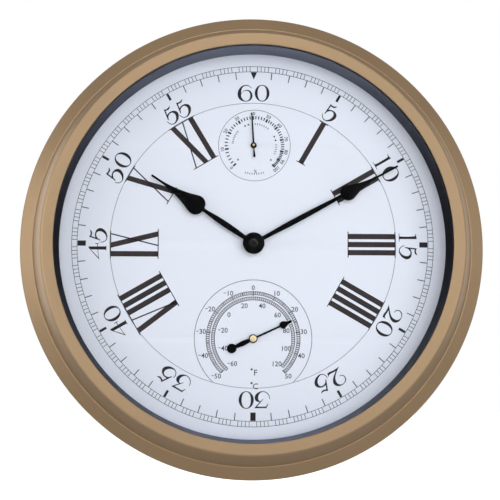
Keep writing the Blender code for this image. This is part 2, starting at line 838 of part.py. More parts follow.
def make_battery():
    middle = (movement_bottom + bay_top) / 2
    half = cell_length / 2
    cell = turned("battery", [
        (0.0, -half), (cell_radius, -half), (cell_radius, half), (cell_nub_radius, half),
        (cell_nub_radius, half + cell_nub_length), (0.0, half + cell_nub_length),
    ], cell_steel, steps=part_steps)
    # the profile's depth runs along -Y, which this turn brings to +X
    cell.rotation_euler = (0.0, 0.0, pi / 2)
    cell.location = (0.0, -cell_depth, middle)
    wall = movement_half_width - bay_wall - seat_gap
    block("contact_positive", wall - contact_sheet, wall, middle - contact_half, middle + contact_half,
          cell_depth - contact_half, cell_depth + contact_half, zinc_steel)
    # the negative contact is a leaf, bent towards the cell's flat end
    reach = half + seat_gap
    leaf = [
        (-wall, middle - contact_half), (-reach - contact_sheet, middle),
        (-wall, middle + contact_half), (-wall + contact_sheet, middle + contact_half),
        (-reach, middle), (-wall + contact_sheet, middle - contact_half),
    ]
    plate("contact_negative", leaf, cell_depth - contact_half, cell_depth + contact_half, zinc_steel)


def make_dial_fixings():
    rubber_bore = bush_radius + seat_gap
    turned("dial_gasket", [
        (rubber_bore, rubber_back), (rubber_radius, rubber_back),
        (rubber_radius, rubber_front), (rubber_bore, rubber_front),
    ], black_rubber)
    turned("shaft_washer", [
        (rubber_bore, washer_back), (washer_radius, washer_back),
        (washer_radius, washer_back + washer_thickness), (rubber_bore, washer_back + washer_thickness),
    ], brass)
    nut = plate("shaft_nut", arc(nut_across_flats / 2 / cos(pi / 6), 0.0, 360.0, 6)[:-1],
                nut_back, nut_back + nut_height, brass)
    drill(nut, [((0.0, 0.0), rubber_bore)], nut_back, nut_back + nut_height, part_steps)


# Hands. A half outline runs up the right side of a hand that points to 12 o'clock.

def hand_outline(half, angle, centre):
    """Mirror a half outline, then turn it clockwise to its angle."""
    whole = half + [(-x, y) for x, y in reversed(half) if x > weld]
    turn = radians(angle)
    return [(centre[0] + x * cos(turn) + y * sin(turn), centre[1] - x * sin(turn) + y * cos(turn))
            for x, y in whole]


def leaf_side(start, end, end_width, middle_width, steps=spade_steps):
    """The right side of a slim leaf, between two distances from the pivot."""
    points = []
    for step in range(1, steps):
        share = step / steps
        width = end_width + (middle_width - end_width) * sin(pi * share)
        points.append((width / 2, start + (end - start) * share))
    return points


def spade_side(distance, radius, join_width, stem_width, stem_start, tip):
    """The right side of a spade: a round base, hollow flanks and a narrow tip."""
    base_start = 180.0 - degrees(asin(join_width / 2 / radius))
    base = arc(radius, base_start, spade_shoulder, spade_steps, (0.0, distance))
    top_width, top = base[-1]
    flank = []
    for step in range(1, spade_steps):
        share = step / spade_steps
        width = stem_width / 2 + (top_width - stem_width / 2) * (1 - share) ** spade_hollow
        flank.append((width, top + (stem_start - top) * share))
    return base + flank + [(stem_width / 2, stem_start), (stem_width / 2, tip)]


def make_clock_hands():
    hub_arc = arc(minute_hub_radius, 180.0, degrees(asin(minute_neck / 2 / minute_hub_radius)), hub_steps)
    arm = leaf_side(minute_hub_radius, minute_spade - minute_spade_radius, minute_neck, minute_leaf)
    half = hub_arc + arm + spade_side(minute_spade, minute_spade_radius, minute_waist, minute_stem,
                                      minute_stem_start, minute_length)
    minute = plate("minute_hand", hand_outline(half, minute_hand_angle, (0.0, 0.0)),
                   minute_hand_depth, minute_hand_depth + hand_sheet, black_enamel)
    drill(minute, [((0.0, 0.0), hand_bore)], minute_hand_depth, minute_hand_depth + hand_sheet)

    hub_arc = arc(hour_hub_radius, 180.0, degrees(asin(hour_neck / 2 / hour_hub_radius)), hub_steps)
    arm = leaf_side(hour_hub_radius, hour_spade - hour_spade_radius, hour_neck, hour_leaf)
    half = hub_arc + arm + spade_side(hour_spade, hour_spade_radius, hour_waist, hour_stem,
                                      hour_stem_start, hour_length)
    hour = plate("hour_hand", hand_outline(half, hour_hand_angle, (0.0, 0.0)),
                 hour_hand_depth, hour_hand_depth + hand_sheet, black_enamel)
    drill(hour, [((0.0, 0.0), hour_pipe_radius + seat_gap)], hour_hand_depth, hour_hand_depth + hand_sheet)

    turned("minute_hand_cap", [
        (0.0, cap_back), (cap_radius, cap_back), (cap_radius, cap_back + cap_height / 2),
        (cap_radius * cos(pi / 6), cap_back + cap_height * cos(pi / 6)), (0.0, cap_back + cap_height),
    ], black_enamel)


# Thermometer and hygrometer

def make_instrument_case(name, centre, radius):
    """A round cup behind the dial, with a neck through it and a bar that carries the spindle's end."""
    inner = radius - instrument_wall
    floor = instrument_front - instrument_wall
    case = turned(name, [
        (neck_bore, floor), (inner, floor), (inner, instrument_back), (radius, instrument_back),
        (radius, instrument_front), (neck_radius, instrument_front),
        (neck_radius, dial_front + neck_stand), (neck_bore, dial_front + neck_stand),
    ], black_plastic, centre)
    reach = radius - instrument_wall / 2
    bar_back = instrument_back + running_gap
    bar = block(name + "_bar", centre[0] - instrument_bar / 2, centre[0] + instrument_bar / 2,
                centre[1] - reach, centre[1] + reach, bar_back, bar_back + instrument_wall, black_plastic)
    post = rod(name + "_post", anchor_radius, floor - coil_lift - coil_height, floor + instrument_wall / 2,
               black_plastic, around(inner - 2 * anchor_radius, 90.0, centre))
    return join(case, bar, post)


def make_strip_coil(name, centre, case_radius, finish):
    """A flat strip wound in a spiral, from the spindle out to the case's post."""
    start = spindle_radius + seat_gap + coil_strip / 2
    end = case_radius - instrument_wall - 3 * anchor_radius - seat_gap - coil_strip / 2
    count = coil_turns * coil_points
    sides = ([], [])
    for step in range(count + 1):
        middle = start + (end - start) * step / count
        angle = 90.0 + 360.0 * step / coil_points
        sides[0].append(around(middle + coil_strip / 2, angle, centre))
        sides[1].append(around(middle - coil_strip / 2, angle, centre))
    front = instrument_front - instrument_wall - coil_lift
    return plate(name, sides[0] + sides[1][::-1], front - coil_height, front, finish)


def make_spindle(name, centre, front):
    back = instrument_back + running_gap + instrument_wall + seat_gap
    return rod(name, spindle_radius, back, front, brass, centre)


def make_thermometer():
    hub = thermometer_hub_radius
    half_neck = thermometer_tail_neck / 2
    half = arc(thermometer_weight_radius, 180.0, degrees(asin(half_neck / thermometer_weight_radius)),
               thermometer_hub_steps, (0.0, -thermometer_weight))
    half += leaf_side(thermometer_weight_radius - thermometer_weight, -hub,
                      thermometer_tail_neck, thermometer_tail_leaf, thermometer_tail_steps)
    half += arc(hub, 180.0 - degrees(asin(half_neck / hub)), degrees(asin(thermometer_arm / 2 / hub)),
                thermometer_hub_steps)
    half += spade_side(thermometer_spade, thermometer_spade_radius, thermometer_waist, thermometer_stem,
                       thermometer_stem_start, thermometer_length)
    hand_front = thermometer_hand_depth + hand_sheet
    hand = plate("thermometer_hand", hand_outline(half, thermometer_hand_angle, thermometer_centre),
                 thermometer_hand_depth, hand_front, black_enamel)
    drill(hand, [(thermometer_centre, spindle_radius + seat_gap)], thermometer_hand_depth, hand_front)

    make_instrument_case("thermometer_case", thermometer_centre, thermometer_case_radius)
    make_strip_coil("bimetal_coil", thermometer_centre, thermometer_case_radius, copper)
    make_spindle("thermometer_spindle", thermometer_centre, hand_front)
    cap_back = hand_front + seat_gap
    turned("thermometer_hand_cap", [
        (0.0, cap_back), (thermometer_cap_radius, cap_back),
        (thermometer_cap_radius, cap_back + thermometer_cap_height / 2),
        (thermometer_cap_radius * cos(pi / 6), cap_back + thermometer_cap_height * cos(pi / 6)),
        (0.0, cap_back + thermometer_cap_height),
    ], brass, thermometer_centre)


def make_hygrometer():
    needle_turn = degrees(asin(hygrometer_needle / 2 / hygrometer_hub_radius))
    half = [(hygrometer_tail_width / 2, -hygrometer_tail)]
    half += arc(hygrometer_hub_radius, 180.0 - needle_turn, needle_turn, hygrometer_hub_steps)
    half += [(hygrometer_tip / 2, hygrometer_length)]
    hand_front = hygrometer_hand_depth + hand_sheet
    hand = plate("hygrometer_hand", hand_outline(half, hygrometer_hand_angle, hygrometer_centre),
                 hygrometer_hand_depth, hand_front, black_enamel)
    drill(hand, [(hygrometer_centre, spindle_radius + seat_gap)], hygrometer_hand_depth, hand_front)
    make_instrument_case("hygrometer_case", hygrometer_centre, hygrometer_case_radius)
    make_strip_coil("humidity_coil", hygrometer_centre, hygrometer_case_radius, bare_steel)
    make_spindle("hygrometer_spindle", hygrometer_centre, hand_front + seat_gap)


clear_scene()

tan_paint = paint("tan_paint", (0.47, 0.32, 0.20), 0.45)
black_plastic = paint("black_plastic", (0.02, 0.02, 0.022), 0.4)
black_rubber = paint("black_rubber", (0.03, 0.03, 0.03), 0.8)
black_enamel = paint("black_enamel", (0.01, 0.01, 0.012), 0.35)
black_steel = paint("black_steel", (0.04, 0.04, 0.042), 0.5)
clear_glass = paint("clear_glass", (0.9, 0.95, 0.95), 0.05)
dial_white = paint("dial_white", (0.78, 0.82, 0.90), 0.5)
white_plastic = paint("white_plastic", (0.75, 0.75, 0.72), 0.5)
zinc_steel = paint("zinc_steel", (0.55, 0.55, 0.56), 0.35, 1.0)
bare_steel = paint("bare_steel", (0.45, 0.45, 0.46), 0.3, 1.0)
brass = paint("brass", (0.70, 0.52, 0.25), 0.3, 1.0)
copper = paint("copper", (0.72, 0.35, 0.2), 0.35, 1.0)
dark_magnet = paint("dark_magnet", (0.08, 0.08, 0.09), 0.5)
board_green = paint("board_green", (0.04, 0.16, 0.07), 0.5)
cell_steel = paint("cell_steel", (0.3, 0.3, 0.32), 0.3, 1.0)

thermometer_centre = (0.0, -thermometer_drop)
hygrometer_centre = (0.0, hygrometer_rise)
hanger_screw_reach = hanger_half_web + hanger_foot / 2
hanger_screw_places = [(-hanger_screw_reach, hanger_height), (hanger_screw_reach, hanger_height)]
third_centre = around(centre_distance(centre_teeth, leaves), third_direction)
intermediate_centre = around(centre_distance(second_teeth, leaves), intermediate_direction)
rotor_centre = around(centre_distance(intermediate_teeth, leaves), rotor_direction, intermediate_centre)
motion_centre = around(centre_distance(cannon_teeth, motion_teeth), motion_direction)
knob_centre = around(centre_distance(motion_teeth, knob_teeth), knob_direction, motion_centre)
plate_left = rotor_centre[0] - plate_margin_left
post_inset = 2 * post_radius
# four posts under the corners of the train plate, the last one clear of the coil's legs
post_places = [
    (plate_right - post_inset, plate_top - post_inset),
    (plate_right - post_inset, plate_bottom + post_radius),
    (plate_left + post_inset, plate_top - post_inset),
    (rotor_centre[0] + post_inset, plate_bottom + post_radius),
]

make_bezel()
make_band()
make_glass()
make_glass_gasket()
make_spacer_ring()
make_dial_plate()
make_back_cover()
make_hanger_plate()
make_screws()
make_rear_case()
make_front_case()
make_train_plate()
make_motor()
make_electronics()
make_battery()
make_train()
make_motion_work()
make_dial_fixings()
make_clock_hands()
make_thermometer()
make_hygrometer()
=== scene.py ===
# Wall weather station: a clock, a thermometer and a hygrometer behind one pane.
# Shapes are drawn in millimetres with x to the right, y up and z the depth in front of the wall.
# standOnWall turns a drawing into the model's frame: metres, the dial facing -Y, +Z up.
# Angles round a dial run clockwise from its top.
from math import cos, pi, radians, sin, tau

import bmesh
import bpy
from mathutils import Matrix, Vector
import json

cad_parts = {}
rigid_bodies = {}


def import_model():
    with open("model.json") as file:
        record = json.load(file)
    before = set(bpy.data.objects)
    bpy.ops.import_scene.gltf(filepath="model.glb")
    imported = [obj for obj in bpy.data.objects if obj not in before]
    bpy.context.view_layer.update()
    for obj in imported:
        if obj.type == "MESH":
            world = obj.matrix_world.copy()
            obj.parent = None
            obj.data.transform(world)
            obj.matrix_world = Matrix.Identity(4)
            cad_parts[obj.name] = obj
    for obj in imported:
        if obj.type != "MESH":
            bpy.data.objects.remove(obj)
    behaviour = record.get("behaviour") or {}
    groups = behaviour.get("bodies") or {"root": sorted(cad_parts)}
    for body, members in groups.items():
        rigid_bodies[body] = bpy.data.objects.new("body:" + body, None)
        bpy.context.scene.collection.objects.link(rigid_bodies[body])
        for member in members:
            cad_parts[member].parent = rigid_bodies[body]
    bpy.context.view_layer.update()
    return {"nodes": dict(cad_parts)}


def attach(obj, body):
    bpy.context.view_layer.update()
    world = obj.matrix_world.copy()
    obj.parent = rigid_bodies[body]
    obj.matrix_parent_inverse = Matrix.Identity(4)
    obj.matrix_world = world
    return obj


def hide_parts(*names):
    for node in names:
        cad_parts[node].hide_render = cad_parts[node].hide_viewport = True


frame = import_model()
scene = bpy.context.scene
scene.view_settings.view_transform = "Standard"
millimetre = 0.001
print("frame loaded:", len(frame["nodes"]), "nodes")


# Camera and light

cameraView = {
    "target": (-0.0028, -0.0205, -0.0050), "distance": 0.86, "lens": 73.89, "sensor": 36.0,
    # degrees to the left of the dial's axis, below it, and about the line of sight
    "yaw": 1.695, "pitch": 5.023, "roll": 0.16,
}

lamps = {
    # name: place, width, height, power, seen in reflections, lights matt surfaces
    "keyLeft": ((-1.09, -1.556, 0.20), 0.9, 1.3, 8.0, True, False),
    "wideLeft": ((-1.556, -1.09, 0.20), 0.9, 1.3, 2.6, True, True),
    "edgeLeft": ((-1.871, -0.33, 0.20), 0.9, 1.3, 5.2, True, False),
    "keyRight": ((1.09, -1.556, 0.20), 0.9, 1.3, 8.0, True, True),
    "edgeRight": ((1.871, -0.33, 0.20), 0.9, 1.3, 1.8, True, False),
    "highFront": ((0.0, -1.60, 1.25), 1.0, 0.6, 8.0, True, False),
    "lowFront": ((0.0, -1.10, -0.42), 1.3, 0.3, 0.7, True, False),
    "fillFront": ((0.15, -2.0, 0.12), 1.2, 1.2, 22.5, False, True),
    "backLeft": ((-1.25, 1.45, 0.20), 0.9, 1.2, 6.0, True, True),
    "backRight": ((1.25, 1.45, 0.20), 0.9, 1.2, 3.0, True, True),
    "backFill": ((0.30, 2.00, 0.60), 1.2, 1.2, 14.0, False, True),
}

room = {
    "ambient": 0.32, "ambientColour": (1.0, 0.97, 0.94, 1.0), "white": (1.0, 1.0, 1.0, 1.0),
    "floorHeight": -0.46, "floorSize": 9.0, "floorColour": (0.50, 0.50, 0.50, 1.0), "floorRoughness": 0.9,
    "drapeDistance": 2.2, "drapeSize": 8.0, "drapeColour": (0.01, 0.01, 0.012, 1.0),
}


def placeCamera(view):
    yaw = radians(view["yaw"])
    pitch = radians(view["pitch"])
    back = Vector((-sin(yaw) * cos(pitch), -cos(yaw) * cos(pitch), -sin(pitch)))
    camera = bpy.data.objects.new("camera", bpy.data.cameras.new("camera"))
    scene.collection.objects.link(camera)
    camera.data.lens = view["lens"]
    camera.data.sensor_width = view["sensor"]
    camera.data.clip_start = 0.01
    turn = back.to_track_quat("Z", "Y").to_matrix().to_4x4()
    place = Matrix.Translation(Vector(view["target"]) + back * view["distance"])
    camera.matrix_world = place @ turn @ Matrix.Rotation(radians(view["roll"]), 4, "Z")
    scene.camera = camera


def placeLamp(name, place, width, height, power, inReflections, onMatt):
    lamp = bpy.data.objects.new(name, bpy.data.lights.new(name, "AREA"))
    scene.collection.objects.link(lamp)
    lamp.data.shape = "RECTANGLE"
    lamp.data.size = width
    lamp.data.size_y = height
    lamp.data.energy = power
    lamp.location = place
    lamp.rotation_euler = (-Vector(place)).to_track_quat("-Z", "Y").to_euler()
    lamp.visible_glossy = inReflections
    lamp.visible_transmission = inReflections
    lamp.visible_diffuse = onMatt
    lamp.visible_camera = False


def setInputs(tree, node, values):
    # each value is a constant, or an output that is linked to the input
    for socket, value in values.items():
        if isinstance(value, bpy.types.NodeSocket):
            tree.links.new(value, node.inputs[socket])
        else:
            node.inputs[socket].default_value = value


def addNode(tree, kind, values):
    node = tree.nodes.new("ShaderNode" + kind)
    setInputs(tree, node, values)
    return node


def mixShaders(tree, share, first, second):
    mix = addNode(tree, "MixShader", {0: share, 1: first.outputs[0], 2: second.outputs[0]})
    return mix.outputs[0]


def showShader(tree, output):
    setInputs(tree, tree.nodes["Material Output"], {"Surface": output})


def plainMaterial(name, values):
    material = bpy.data.materials.new(name)
    material.use_nodes = True
    tree = material.node_tree
    shader = tree.nodes["Principled BSDF"]
    setInputs(tree, shader, values)
    return material, tree, shader


def newPlane(name, size, place, turn, colour, roughness):
    bm = bmesh.new()
    bmesh.ops.create_grid(bm, x_segments=1, y_segments=1, size=size / 2)
    bm.transform(Matrix.Translation(place) @ turn)
    mesh = bpy.data.meshes.new(name)
    bm.to_mesh(mesh)
    bm.free()
    mesh.materials.append(plainMaterial(name, {"Base Color": colour, "Roughness": roughness})[0])
    plane = bpy.data.objects.new(name, mesh)
    scene.collection.objects.link(plane)
    return plane


def lightTheRoom():
    world = bpy.data.worlds.new("studio")
    scene.world = world
    world.use_nodes = True
    tree = world.node_tree
    tree.nodes.clear()
    path = addNode(tree, "LightPath", {})
    ambient = addNode(tree, "Background", {"Color": room["ambientColour"], "Strength": room["ambient"]})
    white = addNode(tree, "Background", {"Color": room["white"], "Strength": 1.0})
    seen = mixShaders(tree, path.outputs["Is Camera Ray"], ambient, white)
    addNode(tree, "OutputWorld", {"Surface": seen})

    # the camera sees a glowing floor, everything else a pale one
    floor = newPlane("floor", room["floorSize"], (0.0, 0.0, room["floorHeight"]), Matrix.Identity(4),
                     room["floorColour"], room["floorRoughness"])
    tree = floor.data.materials[0].node_tree
    path = addNode(tree, "LightPath", {})
    glow = addNode(tree, "Emission", {"Color": room["white"], "Strength": path.outputs["Is Camera Ray"]})
    both = addNode(tree, "AddShader", {0: tree.nodes["Principled BSDF"].outputs[0], 1: glow.outputs[0]})
    showShader(tree, both.outputs[0])

    # a dark drape behind the camera, which only reflections see
    drape = newPlane("drape", room["drapeSize"], (0.0, -room["drapeDistance"], 0.0),
                     Matrix.Rotation(-pi / 2, 4, "X"), room["drapeColour"], 1.0)
    drape.visible_camera = False
    drape.visible_diffuse = False
    drape.visible_shadow = False

    for name, settings in lamps.items():
        placeLamp(name, *settings)


placeCamera(cameraView)
lightTheRoom()
print("camera and light placed")


# Finishes

def newGroup(name, inputs):
    # Height is a fine relief, Drift a slow unevenness
    group = bpy.data.node_groups.new(name, "ShaderNodeTree")
    for socket, value in inputs.items():
        made = group.interface.new_socket(name=socket, in_out="INPUT", socket_type="NodeSocketFloat")
        made.default_value = value
    for socket in ("Height", "Drift"):
        group.interface.new_socket(name=socket, in_out="OUTPUT", socket_type="NodeSocketFloat")
    enter = group.nodes.new("NodeGroupInput")
    leave = group.nodes.new("NodeGroupOutput")
    where = addNode(group, "TexCoord", {})
    return group, enter, leave, where.outputs["Object"]


def makeGrainGroup():
    # a skin such as orange peel or moulded grain
    group, enter, leave, where = newGroup("surfaceGrain",
                                          {"Fine Scale": 700.0, "Slow Scale": 40.0, "Detail": 2.0})
    for scale, result in (("Fine Scale", "Height"), ("Slow Scale", "Drift")):
        noise = addNode(group, "TexNoise", {"Vector": where, "Scale": enter.outputs[scale],
                                            "Detail": enter.outputs["Detail"]})
        setInputs(group, leave, {result: noise.outputs["Fac"]})
    return group


def makeBrushGroup():
    # long scratches along x, y or z, as rolling, turning or brushing leaves them
    group, enter, leave, where = newGroup("brushMarks", {"X Scale": 1.0, "Y Scale": 1.0, "Z Scale": 1.0})
    stretch = addNode(group, "CombineXYZ", {axis: enter.outputs[f"{axis} Scale"] for axis in "XYZ"})
    scaled = addNode(group, "VectorMath", {0: where, 1: stretch.outputs[0]})
    scaled.operation = "MULTIPLY"
    marks = addNode(group, "TexNoise", {"Scale": 1.0, "Detail": 3.0, "Vector": scaled.outputs[0]})
    drift = addNode(group, "TexNoise", {"Scale": 90.0, "Vector": where})
    setInputs(group, leave, {"Height": marks.outputs["Fac"], "Drift": drift.outputs["Fac"]})
    return group


grainGroup = makeGrainGroup()
brushGroup = makeBrushGroup()


def newMaterial(name, look):
    values = {"Metallic": look.get("metallic", 0.0), "Specular IOR Level": look.get("specular", 0.5)}
    if "coat" in look:
        values.update({"Coat Weight": look["coat"], "Coat Roughness": 0.1})
    return plainMaterial(name, values)


def addGroup(tree, group, values):
    made = tree.nodes.new("ShaderNodeGroup")
    made.node_tree = group
    setInputs(tree, made, values)
    return made


def addBump(tree, shader, height, strength, depth):
    bump = addNode(tree, "Bump", {"Strength": strength, "Distance": depth * millimetre, "Height": height})
    setInputs(tree, shader, {"Normal": bump.outputs["Normal"]})


def spread(tree, value, low, high):
    # noise seldom leaves 0.3 to 0.7, so that is the range that is spread
    span = addNode(tree, "MapRange", {"Value": value, "From Min": 0.3, "From Max": 0.7, "To Min": low,
                                      "To Max": high})
    return span.outputs["Result"]


def skinMaterial(name, look, group, values):
    material, tree, shader = newMaterial(name, look)
    marks = addGroup(tree, group, values)
    drift = marks.outputs["Drift"]
    uneven = look.get("uneven", 0.06)
    darker = [part * (1 - uneven) for part in look["colour"]]
    lighter = [min(1.0, part * (1 + uneven)) for part in look["colour"]]
    rough = look["roughness"]
    vary = look.get("roughVary", 0.04)
    mix = tree.nodes.new("ShaderNodeMix")
    mix.data_type = "RGBA"
    setInputs(tree, mix, {"Factor": spread(tree, drift, 0.0, 1.0), "A": (*darker, 1.0),
                          "B": (*lighter, 1.0)})
    setInputs(tree, shader, {"Base Color": mix.outputs["Result"],
                             "Roughness": spread(tree, drift, rough - vary, rough + vary)})
    addBump(tree, shader, marks.outputs["Height"], look.get("bump", 0.25), look.get("depth", 0.02))
    return material


def grainMaterial(name, look):
    return skinMaterial(name, look, grainGroup,
                        {"Fine Scale": look["fine"], "Slow Scale": look.get("slow", 30.0), "Detail": 2.0})


def brushedMaterial(name, look):
    across = look.get("stretch", (60.0, 900.0, 900.0))
    return skinMaterial(name, look, brushGroup,
                        {f"{axis} Scale": scale for axis, scale in zip("XYZ", across)})


inkLook = {"roughness": 0.60, "fine": 3000.0, "specular": 0.12}
spottyInk = {"uneven": 0.15, "slow": 900.0, "bump": 0.2}
grainLooks = {
    "tan_paint": {"colour": (0.478, 0.333, 0.197), "metallic": 0.78, "roughness": 0.49, "uneven": 0.025,
                  "roughVary": 0.03, "fine": 900.0, "slow": 18.0, "bump": 0.30, "depth": 0.03},
    "black_rubber": {"colour": (0.030, 0.030, 0.030), "roughness": 0.80, "fine": 1500.0},
    "black_plastic": {"colour": (0.022, 0.022, 0.024), "roughness": 0.42, "fine": 2600.0, "bump": 0.5,
                      "depth": 0.02},
    "black_enamel": {"colour": (0.0025, 0.0025, 0.003), "roughness": 0.24, "fine": 600.0, "bump": 0.12,
                     "specular": 0.10},
    "capEnamel": {"colour": (0.005, 0.005, 0.005), "roughness": 0.26, "fine": 600.0, "bump": 0.12,
                  "specular": 0.45},
    "black_steel": {"colour": (0.035, 0.035, 0.037), "roughness": 0.50, "fine": 1400.0, "slow": 12.0,
                    "bump": 0.45, "depth": 0.04},
    "dial_white": {"colour": (0.825, 0.842, 0.970), "roughness": 0.55, "uneven": 0.010, "slow": 9.0,
                   "fine": 2200.0, "bump": 0.12, "depth": 0.01, "specular": 0.3},
    "white_plastic": {"colour": (0.72, 0.72, 0.69), "roughness": 0.45, "fine": 2400.0},
    "dark_magnet": {"colour": (0.07, 0.07, 0.08), "metallic": 0.6, "roughness": 0.45, "fine": 3000.0},
    "board_green": {"colour": (0.030, 0.130, 0.060), "roughness": 0.40, "fine": 900.0, "uneven": 0.2},
    "copper": {"colour": (0.72, 0.34, 0.19), "metallic": 1.0, "roughness": 0.34, "fine": 5200.0,
               "bump": 0.6, "depth": 0.04},
    "numeralInk": {**inkLook, "colour": (0.022, 0.018, 0.023), **spottyInk},
    "brownInk": {**inkLook, "colour": (0.040, 0.031, 0.034), **spottyInk},
    "greyInk": {**inkLook, "colour": (0.120, 0.120, 0.135), "uneven": 0.05},
    "cellSleeve": {"colour": (0.020, 0.055, 0.045), "roughness": 0.28, "fine": 900.0, "coat": 0.5},
    "cellBand": {"colour": (0.62, 0.63, 0.62), "roughness": 0.30, "fine": 900.0, "coat": 0.5},
}
brushedLooks = {
    "zinc_steel": {"colour": (0.56, 0.56, 0.57), "metallic": 1.0, "roughness": 0.36, "roughVary": 0.08,
                   "uneven": 0.08, "bump": 0.3},
    "bare_steel": {"colour": (0.46, 0.46, 0.47), "metallic": 1.0, "roughness": 0.32, "roughVary": 0.08,
                   "uneven": 0.08, "bump": 0.3},
    "brass": {"colour": (0.95, 0.78, 0.48), "metallic": 0.9, "roughness": 0.38, "roughVary": 0.06,
              "uneven": 0.06, "bump": 0.25, "stretch": (900.0, 900.0, 120.0)},
    "cell_steel": {"colour": (0.50, 0.50, 0.52), "metallic": 1.0, "roughness": 0.28, "bump": 0.2},
}
finishes = {name: grainMaterial(name, look) for name, look in grainLooks.items()}
finishes.update({name: brushedMaterial(name, look) for name, look in brushedLooks.items()})

pure = {"colour": (0.985, 0.995, 0.99, 1.0), "bend": 1.25, "fine": 12.0, "bump": 0.05, "depth": 0.02,
        "shadow": (0.96, 0.975, 0.97, 1.0)}


def glassMaterial(look):
    material, tree, shader = newMaterial("clear_glass", {})
    setInputs(tree, shader, {"Base Color": look["colour"], "Transmission Weight": 1.0, "IOR": look["bend"],
                             "Roughness": 0.0})
    grain = addGroup(tree, grainGroup, {"Fine Scale": look["fine"]})
    addBump(tree, shader, grain.outputs["Height"], look["bump"], look["depth"])
    # shadow rays and scattered light pass straight through, so that the dial is lit as if uncovered
    path = addNode(tree, "LightPath", {})
    passing = addNode(tree, "Math", {0: path.outputs["Is Shadow Ray"], 1: path.outputs["Is Diffuse Ray"]})
    passing.operation = "MAXIMUM"
    clear = addNode(tree, "BsdfTransparent", {"Color": look["shadow"]})
    showShader(tree, mixShaders(tree, passing.outputs[0], shader, clear))
    return material


# matt black, with a painted sheen that grows towards the top and the bottom by height alone, as the
# photograph shows
blackWall = {"colour": (0.017, 0.017, 0.020), "roughness": 0.60, "fine": 900.0, "bump": 0.25, "specular": 0.0,
             "reach": 0.162, "least": 0.006, "most": 0.22, "paintedSheen": (0.80, 0.84, 1.0, 1.0), "gloss": 0.30}


def wallMaterial(look):
    material = grainMaterial("dialWall", look)
    tree = material.node_tree
    where = addNode(tree, "TexCoord", {})
    apart = addNode(tree, "SeparateXYZ", {0: where.outputs["Object"]})
    # the share of painted sheen, set by height: least at the ring's middle, most at its top and bottom
    square = addNode(tree, "Math", {0: apart.outputs["Z"], 1: 2.0})
    square.operation = "POWER"
    share = addNode(tree, "MapRange", {"Value": square.outputs[0], "From Max": look["reach"] ** 2,
                                       "To Min": look["least"], "To Max": look["most"]})
    paintedSheen = addNode(tree, "BsdfGlossy", {"Color": look["paintedSheen"], "Roughness": look["gloss"]})
    showShader(tree, mixShaders(tree, share.outputs["Result"], tree.nodes["Principled BSDF"], paintedSheen))
    return material


finishes["clear_glass"] = glassMaterial(pure)
finishes["dialWall"] = wallMaterial(blackWall)
for node in frame["nodes"].values():
    for slot in node.material_slots:
        slot.material = finishes[slot.material.name.split(".")[0]]
print("finishes made:", len(finishes))


# Tools for shapes

def standOnWall(angle, centre):
    place = Matrix.Translation(Vector((centre[0], 0.0, centre[1])) * millimetre)
    turn = Matrix.Rotation(pi / 2, 4, "X") @ Matrix.Rotation(-radians(angle), 4, "Z")
    return place @ turn @ Matrix.Scale(millimetre, 4)


def onCircle(radius, angle, centre=(0.0, 0.0)):
    return (centre[0] + radius * sin(radians(angle)), centre[1] + radius * cos(radians(angle)))


def roundCorners(bm, vertices, corners, steps):
    # a third value in a corner is its roundness
    for vertex, corner in zip(vertices, corners):
        if len(corner) > 2:
            bmesh.ops.bevel(bm, geom=[vertex], offset=corner[2], segments=steps, affect="VERTICES",
                            profile=0.5, material=-1)


def turned(profile, steps=240, roundSteps=4):
    # profile: corners (radius, depth) or (radius, depth, roundness), closed unless it starts on the axis
    bm = bmesh.new()
    corners = [bm.verts.new((corner[0], 0.0, corner[1])) for corner in profile]
    for first, second in zip(corners, corners[1:]):
        bm.edges.new((first, second))
    if profile[0][0] > 0.0:
        bm.edges.new((corners[-1], corners[0]))
    roundCorners(bm, corners, profile, roundSteps)
    bmesh.ops.spin(bm, geom=bm.verts[:] + bm.edges[:], cent=(0, 0, 0), axis=(0, 0, 1), dvec=(0, 0, 0),
                   angle=tau, steps=steps, use_merge=True, use_normal_flip=False, use_duplicate=False)
    bmesh.ops.remove_doubles(bm, verts=bm.verts, dist=0.0001)
    bmesh.ops.recalc_face_normals(bm, faces=bm.faces)
    return bm


def fromData(data):
    # a curve or a text as one welded mesh
    holder = bpy.data.objects.new("drawing", data)
    scene.collection.objects.link(holder)
    mesh = bpy.data.meshes.new_from_object(holder)
    bm = bmesh.new()
    bm.from_mesh(mesh)
    bpy.data.objects.remove(holder)
    bpy.data.curves.remove(data)
    bpy.data.meshes.remove(mesh)
    bmesh.ops.remove_doubles(bm, verts=bm.verts, dist=0.0005)
    bmesh.ops.recalc_face_normals(bm, faces=bm.faces)
    return bm


def sheetOf(loops, back, front, rounding=0.0, fine=8, holeFine=0):
    # a plate whose outline and holes are loops of points; a third value in a point makes it a sharp corner
    curve = bpy.data.curves.new("drawing", "CURVE")
    curve.dimensions = "2D"
    curve.fill_mode = "BOTH"
    curve.resolution_u = fine
    for loop in loops:
        spline = curve.splines.new("BEZIER")
        spline.bezier_points.add(len(loop) - 1)
        spline.use_cyclic_u = True
        spline.resolution_u = holeFine if holeFine and loop is not loops[0] else fine
        for knot, point in zip(spline.bezier_points, loop):
            knot.co = (point[0], point[1], 0.0)
            kind = "VECTOR" if len(point) > 2 else "AUTO"
            knot.handle_left_type = kind
            knot.handle_right_type = kind
    curve.extrude = (front - back) / 2 - rounding
    curve.bevel_depth = rounding
    curve.bevel_resolution = 1
    curve.offset = -rounding
    bm = fromData(curve)
    bmesh.ops.translate(bm, verts=bm.verts, vec=(0.0, 0.0, (back + front) / 2))
    return bm


